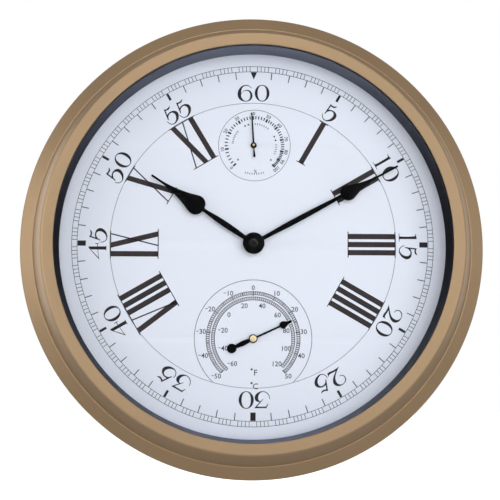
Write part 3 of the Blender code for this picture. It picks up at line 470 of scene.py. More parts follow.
def prism(corners, back, front, arris=0.0):
    # a plate from corners (x, y) or (x, y, roundness), its front and back edges broken by arris
    bm = bmesh.new()
    made = [bm.verts.new((corner[0], corner[1], back)) for corner in corners]
    for first, second in zip(made, made[1:] + made[:1]):
        bm.edges.new((first, second))
    roundCorners(bm, made, corners, 4)
    bmesh.ops.edgenet_fill(bm, edges=bm.edges)
    pushed = bmesh.ops.extrude_face_region(bm, geom=bm.faces[:])
    fresh = [part for part in pushed["geom"] if isinstance(part, bmesh.types.BMVert)]
    bmesh.ops.translate(bm, verts=fresh, vec=(0.0, 0.0, front - back))
    bmesh.ops.recalc_face_normals(bm, faces=bm.faces)
    if arris > 0.0:
        rims = [edge for edge in bm.edges if abs(edge.verts[0].co.z - edge.verts[1].co.z) < 0.001]
        bmesh.ops.bevel(bm, geom=rims, offset=arris, segments=2, affect="EDGES", profile=0.5, material=-1)
    return bm


def boxCorners(left, right, low, high, third):
    # the third value is a roundness in a prism and marks a sharp corner in a sheet
    return [(left, low, third), (right, low, third), (right, high, third), (left, high, third)]


def rodAt(radius, back, front, centre):
    bm = turned([(0.0, back), (radius, back), (radius, front), (0.0, front)], steps=48)
    bmesh.ops.translate(bm, verts=bm.verts, vec=(*centre, 0.0))
    return bm


def ringLoop(radius, centre=(0.0, 0.0)):
    return [onCircle(radius, angle, centre) for angle in (0.0, 90.0, 180.0, 270.0)]


def addBar(bm, left, right, low, high, back, front):
    place = Matrix.Translation(((left + right) / 2, (low + high) / 2, (back + front) / 2))
    size = Matrix.Diagonal((right - left, high - low, front - back, 1.0))
    return bmesh.ops.create_cube(bm, size=1.0, matrix=place @ size)["verts"]


def addCopy(bm, other, matrix):
    mesh = bpy.data.meshes.new("copy")
    other.to_mesh(mesh)
    mesh.transform(matrix)
    bm.from_mesh(mesh)
    bpy.data.meshes.remove(mesh)


def addPart(bm, other, matrix=Matrix.Identity(4)):
    addCopy(bm, other, matrix)
    other.free()


def mirrored(corners):
    # the other half of an outline, without what lies on the middle line
    return [(-corner[0], *corner[1:]) for corner in reversed(corners) if corner[0] > 0.0]


def flat(angle=0.0, place=(0.0, 0.0)):
    return Matrix.Translation((*place, 0.0)) @ Matrix.Rotation(-radians(angle), 4, "Z")


def asObject(bm):
    solid = bpy.data.objects.new("solid", bpy.data.meshes.new("solid"))
    bm.to_mesh(solid.data)
    bm.free()
    scene.collection.objects.link(solid)
    return solid


def carved(bm, *cutters):
    # cuts each cutter's solid out of the first
    base = asObject(bm)
    tools = [asObject(cutter) for cutter in cutters]
    for tool in tools:
        cut = base.modifiers.new("cut", "BOOLEAN")
        cut.operation = "DIFFERENCE"
        cut.solver = "EXACT"
        cut.object = tool
    depsgraph = bpy.context.evaluated_depsgraph_get()
    result = bmesh.new()
    result.from_mesh(base.evaluated_get(depsgraph).to_mesh())
    for thing in tools + [base]:
        mesh = thing.data
        bpy.data.objects.remove(thing)
        bpy.data.meshes.remove(mesh)
    return result


def addPiece(name, bm, finish, replaced=(), slotName="", body="case", angle=0.0, centre=(0.0, 0.0),
             sharp=32.0, weighted=False):
    # a piece without a slot's name takes its finish's name in its place
    slotName = slotName or finish
    bm.transform(standOnWall(angle, centre))
    mesh = bpy.data.meshes.new(name)
    bm.to_mesh(mesh)
    bm.free()
    mesh.materials.append(finishes[finish])
    mesh.shade_smooth()
    mesh.set_sharp_from_angle(angle=radians(sharp))
    piece = bpy.data.objects.new(name, mesh)
    scene.collection.objects.link(piece)
    if weighted:
        weights = piece.modifiers.new("evenShading", "WEIGHTED_NORMAL")
        weights.keep_sharp = True
        weights.weight = 80
    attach(piece, body)
    if replaced:
        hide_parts(*replaced)


# Case

case = {
    "lipBore": 162.5, "front": 51.5, "shoulder": 172.9, "foot": 184.6, "footBack": 16.7, "footFront": 17.9,
    "footBore": 176.0, "sheet": 1.2, "groove": 185.6, "ledgeBore": 173.6, "ledgeBack": 15.2,
    "ledgeFront": 16.4, "rim": 197.0, "crest": 9.0, "hemWidth": 3.4, "hemDepth": 2.4,
    # the sheet of the sloping wall, measured across
    "across": 1.28,
}


def makeCase(size):
    slope = (size["foot"] - size["shoulder"]) / (size["front"] - 2.0 - size["footFront"])
    inner = size["foot"] - size["across"]
    top = size["front"] - size["sheet"]
    innerTop = inner - (top - size["footFront"]) * slope
    bezel = turned([
        (size["lipBore"], top, 0.15), (size["lipBore"], size["front"], 0.6),
        (size["shoulder"] - 0.3, size["front"], 1.9), (size["foot"], size["footFront"] - 0.1, 0.5),
        (size["foot"], size["footBack"], 0.3), (size["footBore"], size["footBack"], 0.3),
        (size["footBore"], size["footFront"], 0.3), (inner, size["footFront"], 0.3), (innerTop, top, 1.0),
    ], steps=256, roundSteps=6)
    addPiece("bezelShell", bezel, "tan_paint", ["bezel"], weighted=True)
    band = turned([
        (size["ledgeBore"], size["ledgeBack"], 0.3), (size["ledgeBore"], size["ledgeFront"], 0.3),
        (size["groove"], size["ledgeFront"], 0.5), (size["rim"], size["crest"], 1.5),
        (size["rim"], 0.0, 0.6), (size["rim"] - size["hemWidth"], 0.0, 0.5),
        (size["rim"] - size["hemWidth"], size["hemDepth"], 0.3),
        (size["rim"] - size["sheet"], size["hemDepth"] + 0.2, 0.2),
        (size["rim"] - size["sheet"], size["crest"] - 0.7, 0.9),
        (size["groove"] - 0.4, size["ledgeBack"], 0.4),
    ], steps=256, roundSteps=6)
    addPiece("outerRim", band, "tan_paint", ["case_band"], weighted=True)


pane = {"radius": 171.6, "back": 46.2, "front": 48.7, "arris": 0.35}
wall = {"foot": 20.8, "top": 45.9, "bore": 162.0, "topBore": 162.2, "wall": 1.5, "flange": 6.2}


def makePane(size):
    glass = turned([(0.0, size["back"]), (size["radius"], size["back"], size["arris"]),
                    (size["radius"], size["front"], size["arris"]), (0.0, size["front"])],
                   steps=192, roundSteps=2)
    # every edge is sharp, so that the flat faces bend no light
    addPiece("frontPane", glass, "clear_glass", ["glass"], sharp=10.0)


def makeWall(size):
    ring = turned([
        (size["bore"], size["foot"], 0.25), (size["topBore"], size["top"], 0.4),
        (size["topBore"] + size["flange"], size["top"], 0.3),
        (size["topBore"] + size["flange"], size["top"] - size["wall"], 0.3),
        (size["topBore"] + size["wall"], size["top"] - size["wall"], 0.3),
        (size["bore"] + size["wall"], size["foot"], 0.25),
    ], steps=256, roundSteps=3)
    addPiece("dialWall", ring, "dialWall", ["spacer_ring"], "black_plastic", weighted=True)


makeCase(case)
makePane(pane)
makeWall(wall)
print("case made")


# Dial plate and its print

dial = {"radius": 179.86, "back": 19.5, "front": 20.5, "bushHole": 4.3, "neckHole": 2.6,
        "thermometer": (0.0, -79.0), "hygrometer": (0.0, 83.7)}
ink = {"back": 20.49, "front": 20.54}
track = {"outer": 151.6, "inner": 147.1, "line": 0.40, "rung": 0.46, "tick": 0.74, "tickEnd": 140.8,
         "bar": 2.1, "barStart": 146.7, "barEnd": 140.6, "block": 4.4, "blockEnd": 139.8,
         "arrow": 2.7, "arrowEnd": 140.4,
         "thinCircle": 119.9, "thinLine": 0.38}


def addPrint(name, bm, finish):
    addPiece(name, bm, finish, slotName="black_enamel")


def inkSection(radius, width):
    left = radius - width / 2
    right = radius + width / 2
    return [(left, ink["back"]), (right, ink["back"]), (right, ink["front"]), (left, ink["front"])]


def addRing(bm, radius, width, centre=(0.0, 0.0), steps=240):
    addPart(bm, turned(inkSection(radius, width), steps=steps), flat(0.0, centre))


def addInkShape(bm, corners, matrix=Matrix.Identity(4)):
    # a printed shape with straight sides
    shape = sheetOf([[(*corner, 0) for corner in corners]], ink["back"], ink["front"], fine=1)
    addPart(bm, shape, matrix)


def inkBar(bm, width, inside, outside, angle, centre=(0.0, 0.0)):
    bar = addBar(bm, -width / 2, width / 2, inside, outside, ink["back"], ink["front"])
    bmesh.ops.transform(bm, matrix=flat(angle, centre), verts=bar)


def makeDialPlate(size):
    loops = [ringLoop(size["radius"]), ringLoop(size["bushHole"]),
             ringLoop(size["neckHole"], size["thermometer"]), ringLoop(size["neckHole"], size["hygrometer"])]
    plate = sheetOf(loops, size["back"], size["front"], 0.08, fine=56)
    addPiece("dialPlate", plate, "dial_white", ["dial_plate"])


def makeMinuteTrack(size):
    bm = bmesh.new()
    addRing(bm, size["outer"], size["line"])
    addRing(bm, size["inner"], size["line"])
    for minute in range(60):
        for share in (0.2, 0.4, 0.6, 0.8):
            inkBar(bm, size["rung"], size["inner"], size["outer"], 6.0 * (minute + share))
        if minute % 5:
            inkBar(bm, size["tick"], size["tickEnd"], size["inner"], 6.0 * minute)
        elif minute == 0:
            half = size["arrow"]
            addInkShape(bm, [(-half, size["barStart"]), (half, size["barStart"]), (0.0, size["arrowEnd"])])
        elif minute % 15:
            inkBar(bm, size["bar"], size["barEnd"], size["barStart"], 6.0 * minute)
        else:
            inkBar(bm, size["block"], size["blockEnd"], size["barStart"], 6.0 * minute)
    addPrint("minuteTrack", bm, "numeralInk")
    bm = bmesh.new()
    addRing(bm, size["thinCircle"], size["thinLine"])
    addPrint("numeralCircle", bm, "greyInk")


# Arabic numerals. Outlines in thousandths of the height; a third value makes a sharp corner.
digitShapes = {
    "0": [[(438, -5), (876, 500), (438, 1005), (0, 500)],
          [(438, 40), (706, 500), (438, 960), (170, 500)]],
    "1": [[(183, 50), (183, 900), (165, 955), (30, 985, 0), (30, 1015, 0), (200, 1030), (345, 1070, 0),
           (345, 70, 0), (380, 35, 0), (510, 30, 0), (510, 0, 0), (0, 0, 0), (0, 30, 0), (150, 35, 0)]],
    "2": [[(285, 487, 0), (162, 488), (50, 575), (6, 735), (80, 905), (245, 1000), (440, 1020), (660, 945),
           (790, 755), (745, 540), (585, 345), (370, 170), (330, 135, 0), (480, 140), (660, 125),
           (790, 155), (865, 240, 0), (830, 20, 0), (650, 5), (430, 35), (220, 25), (20, -12, 0),
           (200, 125), (400, 300), (550, 475), (605, 690), (560, 865), (420, 965), (250, 955), (110, 850),
           (60, 720), (95, 600), (180, 525), (285, 512, 0)]],
    "3": [[(210, 960, 0), (550, 958), (920, 970, 0), (740, 760), (603, 610, 0), (770, 580), (885, 430),
           (850, 215), (670, 50), (430, -15), (170, 70), (30, 260), (0, 445, 0), (32, 440, 0), (72, 270),
           (205, 105), (430, 30), (600, 125), (690, 320), (665, 480), (575, 560), (530, 545, 0),
           (415, 425, 0), (395, 455, 0), (590, 680), (760, 870, 0), (520, 872), (250, 870, 0),
           (118, 685, 0), (100, 695, 0)]],
    "4": [[(0, 425, 0), (680, 1035, 0), (750, 1035, 0), (755, 530, 0), (905, 545, 0), (915, 680, 0),
           (935, 680, 0), (965, 420, 0), (940, 420, 0), (910, 510, 0), (757, 495, 0), (760, 35, 0),
           (800, 25, 0), (800, 0, 0), (500, 0, 0), (500, 25, 0), (565, 35, 0), (572, 485, 0), (0, 410, 0)],
          [(110, 450, 0), (572, 515, 0), (575, 895, 0)]],
    "5": [[(580, 1100, 0), (515, 965), (393, 900), (300, 905), (231, 900, 0), (214, 655, 0), (330, 715),
           (500, 745), (720, 680), (830, 515), (785, 275), (600, 70), (340, -22), (110, 85), (10, 306, 0),
           (50, 290, 0), (140, 120), (330, 28), (510, 125), (625, 320), (640, 500), (560, 630), (430, 665),
           (300, 605), (205, 500, 0), (165, 335, 0), (115, 335, 0), (140, 700, 0), (162, 1035, 0),
           (250, 995), (360, 990), (480, 1035)]],
    "6": [[(860, 800, 0), (700, 945), (500, 1000), (200, 880), (0, 460), (120, 125), (460, -5), (770, 90),
           (880, 330), (790, 600), (560, 700), (370, 640), (215, 480, 0), (240, 740), (350, 890),
           (510, 945), (690, 905), (835, 790, 0)],
          [(215, 420), (290, 150), (470, 40), (660, 110), (745, 330), (690, 560), (540, 645), (350, 590)]],
}
digitHeight = 14.3

# each numeral: its digits with their middle across, their foot and their lean, as the dial's print has them
numeralPlaces = {
    0: (("6", -7.4, -7.6, 0.0), ("0", 7.1, -7.5, 0.0)),
    5: (("5", 0.5, -7.1, 0.0),),
    10: (("1", -6.7, -6.6, 0.0), ("0", 5.9, -5.5, 0.0)),
    15: (("1", -6.2, -6.5, 0.0), ("5", 6.3, -6.3, 2.5)),
    20: (("2", -7.4, -5.4, 0.0), ("0", 6.3, -6.1, 0.0)),
    25: (("2", -5.1, -5.1, 0.0), ("5", 8.4, -7.5, 18.0)),
    30: (("3", -7.6, -6.5, 0.0), ("0", 5.6, -6.6, 0.0)),
    35: (("3", -7.1, -6.6, 0.0), ("5", 7.5, -7.0, 31.0)),
    40: (("4", -6.6, -5.2, 0.0), ("0", 7.8, -5.5, 0.0)),
    45: (("4", -6.6, -6.3, 0.0), ("5", 7.0, -7.1, 15.0)),
    50: (("5", -8.1, -7.1, 3.0), ("0", 6.1, -5.8, 0.0)),
    55: (("5", -5.9, -7.4, 3.0), ("5", 6.0, -7.4, 4.0)),
}
numeralRadius = 129.0


def makeMinuteNumerals():
    glyphs = {}
    for digit, loops in digitShapes.items():
        wide = [point[0] for point in loops[0]]
        middle = (min(wide) + max(wide)) / 2
        scale = digitHeight / 1000
        # the foot's middle is each digit's own origin
        scaled = [[((p[0] - middle) * scale, p[1] * scale, *p[2:]) for p in loop] for loop in loops]
        glyphs[digit] = sheetOf(scaled, ink["back"], ink["front"], fine=6)
    bm = bmesh.new()
    for minute, digits in numeralPlaces.items():
        around = flat(minute * 6.0) @ Matrix.Translation((0.0, numeralRadius, 0.0))
        for digit, across, foot, lean in digits:
            middle = Matrix.Translation((across, foot + digitHeight / 2, 0.0))
            turn = Matrix.Rotation(-radians(lean), 4, "Z")
            addCopy(bm, glyphs[digit], around @ middle @ turn @ Matrix.Translation((0, -digitHeight / 2, 0)))
    for glyph in glyphs.values():
        glyph.free()
    addPrint("minuteNumerals", bm, "numeralInk")


# Roman numerals: strokes between an inner and an outer serif line
roman = {
    "inside": 79.6, "outside": 119.2, "serif": 0.78, "overhang": 1.9, "gap": 2.3, "lean": {11: -0.9},
    "numerals": {1: "I", 2: "II", 3: "III", 4: "IIII", 8: "VIII", 9: "IX", 10: "X", 11: "XI"},
}
thick = 4.5
thin = 1.1
# each letter: its width, and its strokes with their place at the foot, at the top and their width
romanLetters = {
    "I": (4.5, ((0.0, 0.0, thick),)),
    "V": (14.4, ((0.0, -5.1, thick), (0.0, 5.1, thin))),
    "X": (15.2, ((4.7, -5.0, thick), (-5.1, 4.7, thin))),
}


def makeHourNumerals(size):
    bm = bmesh.new()
    for hour, letters in size["numerals"].items():
        total = sum(romanLetters[letter][0] for letter in letters) + size["gap"] * (len(letters) - 1)
        start = -total / 2
        strokes = []
        for letter in letters:
            width, lines = romanLetters[letter]
            for foot, top, wide in lines:
                strokes.append((start + width / 2 + foot, start + width / 2 + top, wide / 2))
            start += width + size["gap"]
        around = flat(hour * 30.0 + size["lean"].get(hour, 0.0))
        for foot, top, half in strokes:
            loop = [(foot - half, size["inside"]), (foot + half, size["inside"]),
                    (top + half, size["outside"]), (top - half, size["outside"])]
            addInkShape(bm, loop, around)
        for place, spots in ((size["inside"], [s[0] for s in strokes]),
                             (size["outside"], [s[1] for s in strokes])):
            left = min(spot - stroke[2] for spot, stroke in zip(spots, strokes)) - size["overhang"]
            right = max(spot + stroke[2] for spot, stroke in zip(spots, strokes)) + size["overhang"]
            bar = addBar(bm, left, right, place - size["serif"] / 2, place + size["serif"] / 2,
                         ink["back"], ink["front"])
            bmesh.ops.transform(bm, matrix=around, verts=bar)
    addPrint("hourNumerals", bm, "brownInk")


# the share of a typeface's size that its figures are high, and how much their strokes are thickened
figureShare = 0.73
figureBoldness = 0.048


def writing(text, height):
    # small figures from Blender's own typeface, centred on their middle
    data = bpy.data.curves.new("writing", "FONT")
    data.body = text
    data.size = height / figureShare
    data.align_x = "CENTER"
    data.resolution_u = 2
    data.offset = figureBoldness
    data.extrude = (ink["front"] - ink["back"]) / 2
    bm = fromData(data)
    bmesh.ops.translate(bm, verts=bm.verts, vec=(0.0, -height / 2, (ink["front"] + ink["back"]) / 2))
    return bm


def addWriting(bm, text, height, place, angle=0.0):
    addPart(bm, writing(text, height), flat(angle, place))


def addArcLine(bm, radius, width, start, end, centre, steps=120):
    # a thin arc, spun from a small section and capped at both ends
    part = bmesh.new()
    face = part.faces.new([part.verts.new((0.0, *corner)) for corner in inkSection(radius, width)])
    bmesh.ops.rotate(part, verts=part.verts, cent=(0, 0, 0), matrix=Matrix.Rotation(-radians(start), 3, "Z"))
    bmesh.ops.spin(part, geom=[face], cent=(0, 0, 0), axis=(0, 0, 1), dvec=(0, 0, 0),
                   angle=-radians(end - start), steps=steps, use_merge=False,
                   use_normal_flip=False, use_duplicate=False)
    bmesh.ops.recalc_face_normals(part, faces=part.faces)
    addPart(bm, part, flat(0.0, centre))


thermometerScale = {
    "centre": (0.0, -79.0), "ring": 48.9, "ringEnd": 137.0, "ringLine": 0.52,
    "celsiusIn": 36.5, "celsiusOut": 39.1, "celsiusMajor": 35.7, "celsiusStep": 2.73, "celsiusLabel": 42.5,
    "fahrenheitIn": 32.2, "fahrenheitOut": 34.7, "fahrenheitLabel": 28.4, "labelHeight": 4.2,
    "labelTurn": 3.2, "labelShift": 3.6, "minus": (-5.3, -3.2, -0.1, 0.4),
    "line": 0.50, "rung": 0.74, "bold": 1.15, "celsiusEnd": 136.5, "fahrenheitEnds": (-139.5, 133.5),
    "units": (("F", -106.9), ("C", -118.2)), "unitHeight": 5.0, "unitAcross": 2.0,
    # the ring of a degree sign: radius and width
    "sign": (0.50, 0.8), "signPlace": (-1.2, 2.5),
}


def addDegrees(bm, degree, size, x, y):
    addWriting(bm, str(abs(degree)), size["labelHeight"], (x, y))
    if degree < 0:
        left, right, low, high = size["minus"]
        addBar(bm, x + left, x + right, y + low, y + high, ink["back"], ink["front"])


def makeThermometerScale(size):
    bm = bmesh.new()
    centre = size["centre"]
    end = size["celsiusEnd"]
    for degree in range(-50, 51):
        angle = degree * size["celsiusStep"]
        width = size["bold"] if degree % 5 == 0 else size["rung"]
        inside = size["celsiusMajor"] if degree % 10 == 0 else size["celsiusIn"]
        inkBar(bm, width, inside, size["celsiusOut"], angle, centre)
        if degree % 10 == 0:
            addDegrees(bm, degree, size, *onCircle(size["celsiusLabel"], angle, centre))
    for degree in range(-60, 121, 2):
        angle = (degree - 32) / 1.8 * size["celsiusStep"]
        inkBar(bm, size["rung"], size["fahrenheitIn"], size["fahrenheitOut"], angle, centre)
        if degree % 20 == 0:
            x, y = onCircle(size["fahrenheitLabel"], angle + size["labelTurn"], centre)
            addDegrees(bm, degree, size, x + (size["labelShift"] if degree < 0 else 0.0), y)
    for radius in (size["fahrenheitIn"], size["fahrenheitOut"]):
        addArcLine(bm, radius, size["line"], *size["fahrenheitEnds"], centre)
    addArcLine(bm, size["celsiusOut"], size["line"], -end, end, centre)
    across, up = size["signPlace"]
    for letter, height in size["units"]:
        addWriting(bm, letter, size["unitHeight"], (size["unitAcross"], height))
        addArcLine(bm, *size["sign"], 0.0, 359.0, (across, height + up), 12)
    addPrint("thermometerScale", bm, "numeralInk")
    bm = bmesh.new()
    addArcLine(bm, size["ring"], size["ringLine"], -size["ringEnd"], size["ringEnd"], centre)
    addArcLine(bm, size["celsiusIn"], size["line"], -end, end, centre)
    addPrint("thermometerRing", bm, "greyInk")


hygrometerScale = {
    "centre": (0.7, 83.7), "ring": 30.3, "ringLine": 0.42, "tickIn": 22.5, "tickOut": 25.2, "majorIn": 22.0,
    "tick": 0.92, "major": 1.5, "label": 27.4, "labelHeight": 3.0, "marks": 18.4,
    "arrow": ((-0.95, -0.8), (0.95, -0.8), (0.0, 1.0)),
    # where each arrow sits on the circle, and how far it is turned
    "arrows": ((-25.0, 65.0), (-17.0, -107.0), (66.0, 156.0), (75.0, -15.0), (-131.0, 0.0), (131.0, 0.0)),
    "angles": (-135.0, -98.0, -63.5, -33.0, -3.0, 26.0, 51.0, 78.0, 102.0, 120.5, 137.0),
    "stroke": 0.62, "half": 0.8, "percent": (2.9, (1.5, 61.6)),
    "zones": ((-84.0, -50.0, 8, 18.4), (2.0, 38.0, 7, 18.4), (88.0, 112.0, 5, 18.4), (162.0, 198.0, 9, 24.4)),
}


def makeHygrometerScale(size):
    bm = bmesh.new()
    centre = size["centre"]
    angles = size["angles"]
    for step, angle in enumerate(angles):
        inkBar(bm, size["major"], size["majorIn"], size["tickOut"], angle, centre)
        addWriting(bm, str(step * 10), size["labelHeight"], onCircle(size["label"], angle, centre), angle)
        if angle < angles[-1]:
            pitch = (angles[step + 1] - angle) / 5
            for part in range(1, 5):
                inkBar(bm, size["tick"], size["tickIn"], size["tickOut"], angle + part * pitch, centre)
    for angle, lean in size["arrows"]:
        addInkShape(bm, size["arrow"], flat(lean, onCircle(size["marks"], angle, centre)))
    addPrint("hygrometerScale", bm, "numeralInk")
    bm = bmesh.new()
    addRing(bm, size["ring"], size["ringLine"], centre, 120)
    # short strokes stand for the zones of the scale
    for start, end, count, radius in size["zones"]:
        for step in range(count):
            angle = start + (end - start) * step / (count - 1)
            inkBar(bm, size["stroke"], radius - size["half"], radius + size["half"], angle, centre)
    addWriting(bm, "%", *size["percent"])
    addPrint("hygrometerRing", bm, "greyInk")


makeDialPlate(dial)
makeMinuteTrack(track)
makeMinuteNumerals()
makeHourNumerals(roman)
makeThermometerScale(thermometerScale)
makeHygrometerScale(hygrometerScale)
print("dial printed")


# Hands: right half of each outline, from the hub's bottom to the tip

minuteHand = {
    "angle": 61.5, "back": 28.6, "front": 29.2, "bore": 1.7,
    "half": [(0.0, -9.0), (6.36, -6.36), (9.0, 0.0), (6.36, 6.36), (3.2, 8.41), (1.75, 8.85, 0),
             (1.8, 16.8), (2.2, 30.0), (2.3, 44.0), (2.1, 58.0), (1.75, 72.0), (1.5, 80.0), (1.62, 83.3, 0),
             (4.2, 84.7), (6.2, 87.2), (6.7, 90.6), (5.5, 94.4), (3.95, 98.4), (2.6, 103.6), (1.5, 110.0),
             (0.92, 117.5), (0.85, 124.0), (0.85, 137.1, 0), (0.45, 137.5, 0)],
}
hourHand = {
    "angle": 303.6, "back": 26.6, "front": 27.2, "bore": 2.5,
    "half": [(0.0, -8.2), (5.8, -5.8), (8.2, 0.0), (5.8, 5.8), (3.1, 7.6), (1.78, 8.0, 0),
             (2.1, 14.2), (2.45, 24.0), (2.5, 30.0), (2.2, 38.0), (1.75, 43.6), (1.5, 48.6), (1.65, 50.4, 0),
             (4.6, 51.3), (7.3, 54.1), (8.2, 58.0), (7.2, 62.0), (5.5, 66.8), (3.85, 72.8), (2.5, 79.2),
             (1.5, 85.6), (0.95, 91.5), (0.9, 96.0), (0.9, 102.1, 0), (0.5, 102.5, 0)],
}
thermometerHand = {
    "angle": 65.3, "back": 23.2, "front": 23.8, "bore": 1.3,
    "half": [(0.0, -23.6), (2.8, -22.4), (3.95, -19.6), (2.9, -16.8), (1.45, -15.7, 0), (1.85, -12.5),
             (2.1, -9.6), (1.9, -6.4), (1.5, -3.3, 0), (3.0, -2.0), (3.6, 0.0), (2.9, 2.15), (0.8, 3.5, 0),
             (0.78, 14.0), (0.75, 24.4, 0), (2.1, 25.0), (3.05, 27.2), (2.5, 29.2), (1.3, 31.6), (0.7, 33.6),
             (0.45, 35.7, 0)],
}
hygrometerHand = {
    "angle": -3.5, "back": 22.6, "front": 23.2, "bore": 1.3,
    "half": [(0.0, -10.3, 0), (0.95, -10.3, 0), (0.4, -2.25, 0), (1.7, -1.5), (2.3, 0.0), (1.7, 1.55),
             (0.7, 2.2, 0), (0.5, 27.1, 0)],
}


handEdge = 0.11


def makeHand(name, hand, body, replaced, centre=(0.0, 0.0)):
    loops = [hand["half"] + mirrored(hand["half"]), ringLoop(hand["bore"])]
    bm = sheetOf(loops, hand["back"], hand["front"], handEdge)
    addPiece(name, bm, "black_enamel", [replaced], "", body, hand["angle"], centre)


def makeCap(name, radius, back, front, finish, body, slotName, replaced, centre=(0.0, 0.0)):
    cap = turned([(0.0, back), (radius, back, 0.12), (radius, front - 0.35, 0.3),
                  (radius * 0.62, front, 0.5), (0.0, front)], steps=48, roundSteps=4)
    addPiece(name, cap, finish, [replaced], slotName, body, 0.0, centre)


makeHand("minutePointer", minuteHand, "minute_group", "minute_hand")
makeHand("hourPointer", hourHand, "hour_group", "hour_hand")
makeCap("pointerCap", 3.7, 29.8, 30.7, "capEnamel", "minute_group", "black_enamel", "minute_hand_cap")
makeHand("temperaturePointer", thermometerHand, "thermometer_pointer", "thermometer_hand",
         dial["thermometer"])
makeCap("temperatureCap", 2.8, 24.1, 25.0, "brass", "thermometer_pointer", "brass", "thermometer_hand_cap",
        dial["thermometer"])
makeHand("humidityPointer", hygrometerHand, "hygrometer_pointer", "hygrometer_hand", dial["hygrometer"])
print("hands made")


# Back: cover, hanger, screws and the movement's housing

cover = {
    "radius": 184.6, "back": 13.7, "front": 14.9, "screwCircle": 179.6, "screwHole": 2.0,
    "ribIn": 169.5, "ribOut": 170.9, "ribRoot": 14.3, "ribFront": 19.2, "bead": 155.0, "beadBack": 13.25,
    "beadFoot": 3.0, "beadTop": 1.2, "beadSunk": 0.25,
    "window": (-28.6, 28.6, -30.6, 26.6), "thermometerHole": 20.6, "hygrometerHole": 15.6,
    "hangerScrew": (26.0, 130.0), "ventColumns": (72.0, 118.0), "ventTop": -52.0, "ventPitch": 9.0,
    "ventRows": 6, "ventHalf": 16.0, "ventRadius": 1.7,
}


def slotLoop(x, y, half, radius):
    loop = []
    for side in (1, -1):
        for angle in (0.0, 45.0, 90.0, 135.0, 180.0):
            across, up = onCircle(radius, angle)
            loop.append((x + side * (half + across), y + side * up))
    return loop


def coverScrewPlaces():
    return [onCircle(cover["screwCircle"], angle) for angle in (45.0, 135.0, 225.0, 315.0)]


def hangerScrewPlaces():
    x, y = cover["hangerScrew"]
    return [(-x, y), (x, y)]


def makeCover(size):
    loops = [ringLoop(size["radius"]), boxCorners(*size["window"], 0),
             ringLoop(size["thermometerHole"], dial["thermometer"]),
             ringLoop(size["hygrometerHole"], dial["hygrometer"])]
    loops += [ringLoop(size["screwHole"], place) for place in coverScrewPlaces() + hangerScrewPlaces()]
    for side in (-1, 1):
        for column in size["ventColumns"]:
            for row in range(size["ventRows"]):
                y = size["ventTop"] - row * size["ventPitch"]
                loops.append(slotLoop(side * column, y, size["ventHalf"], size["ventRadius"]))
    sheet = sheetOf(loops, size["back"], size["front"], 0.2, fine=48, holeFine=6)
    rib = turned([(size["ribIn"], size["ribRoot"]), (size["ribOut"], size["ribRoot"]),
                  (size["ribOut"], size["ribFront"], 0.3), (size["ribIn"], size["ribFront"], 0.3)],
                 steps=192, roundSteps=2)
    addPart(sheet, rib)
    root = size["back"] + size["beadSunk"]
    foot = size["beadFoot"]
    top = size["beadTop"]
    bead = turned([(size["bead"] - foot, root), (size["bead"] - top, size["beadBack"], 1.0),
                   (size["bead"] + top, size["beadBack"], 1.0), (size["bead"] + foot, root)],
                  steps=192, roundSteps=3)
    addPart(sheet, bead)
    addPiece("backCover", sheet, "black_steel", ["back_cover"], sharp=15.0)


hanger = {
    "footOut": 32.0, "footIn": 20.0, "sheet": 1.2, "footBack": 12.2, "webBack": 6.9, "middle": 130.0,
    "length": 24.0, "keyhole": 4.5, "slot": 4.4, "slotLength": 11.0, "keyholeHeight": 125.0, "bend": 1.5,
}


def makeHanger(size):
    sheet = size["sheet"]
    footFront = size["footBack"] + sheet
    webFront = size["webBack"] + sheet
    inner = size["footIn"] - sheet
    half = [(size["footOut"], footFront), (size["footOut"], size["footBack"]),
            (size["footIn"], size["footBack"], 0.4), (size["footIn"], size["webBack"], size["bend"])]
    inside = [(inner, webFront, 0.4), (inner, footFront, size["bend"])]
    corners = half + mirrored(half) + mirrored(inside) + inside
    low = size["middle"] - size["length"] / 2
    bracket = prism(corners, -low - size["length"], -low, 0.15)
    bracket.transform(Matrix.Rotation(pi / 2, 4, "X"))
    y = size["keyholeHeight"]
    deep = (size["webBack"] - 1.0, webFront + 1.0)
    half = size["slot"] / 2
    top = y + size["slotLength"]
    slot = [(-half, y), (half, y), (half, top, size["slot"] * 0.49), (-half, top, size["slot"] * 0.49)]
    cutters = [rodAt(size["keyhole"], *deep, (0.0, y)), prism(slot, *deep)]
    for place in hangerScrewPlaces():
        cutters.append(rodAt(cover["screwHole"], size["footBack"] - 1.0, footFront + 1.0, place))
    addPiece("hangerBracket", carved(bracket, *cutters), "zinc_steel", ["hanger_plate"], sharp=25.0)


screw = {
    "head": 3.0, "height": 1.4, "shank": 1.6, "root": 1.28, "pitch": 0.55, "arm": 1.75, "slit": 0.42,
    "slitDepth": 0.75,
    # the depths of the head's front and of the tip
    "inCover": (13.4, 18.4), "inHanger": (11.9, 15.4),
}


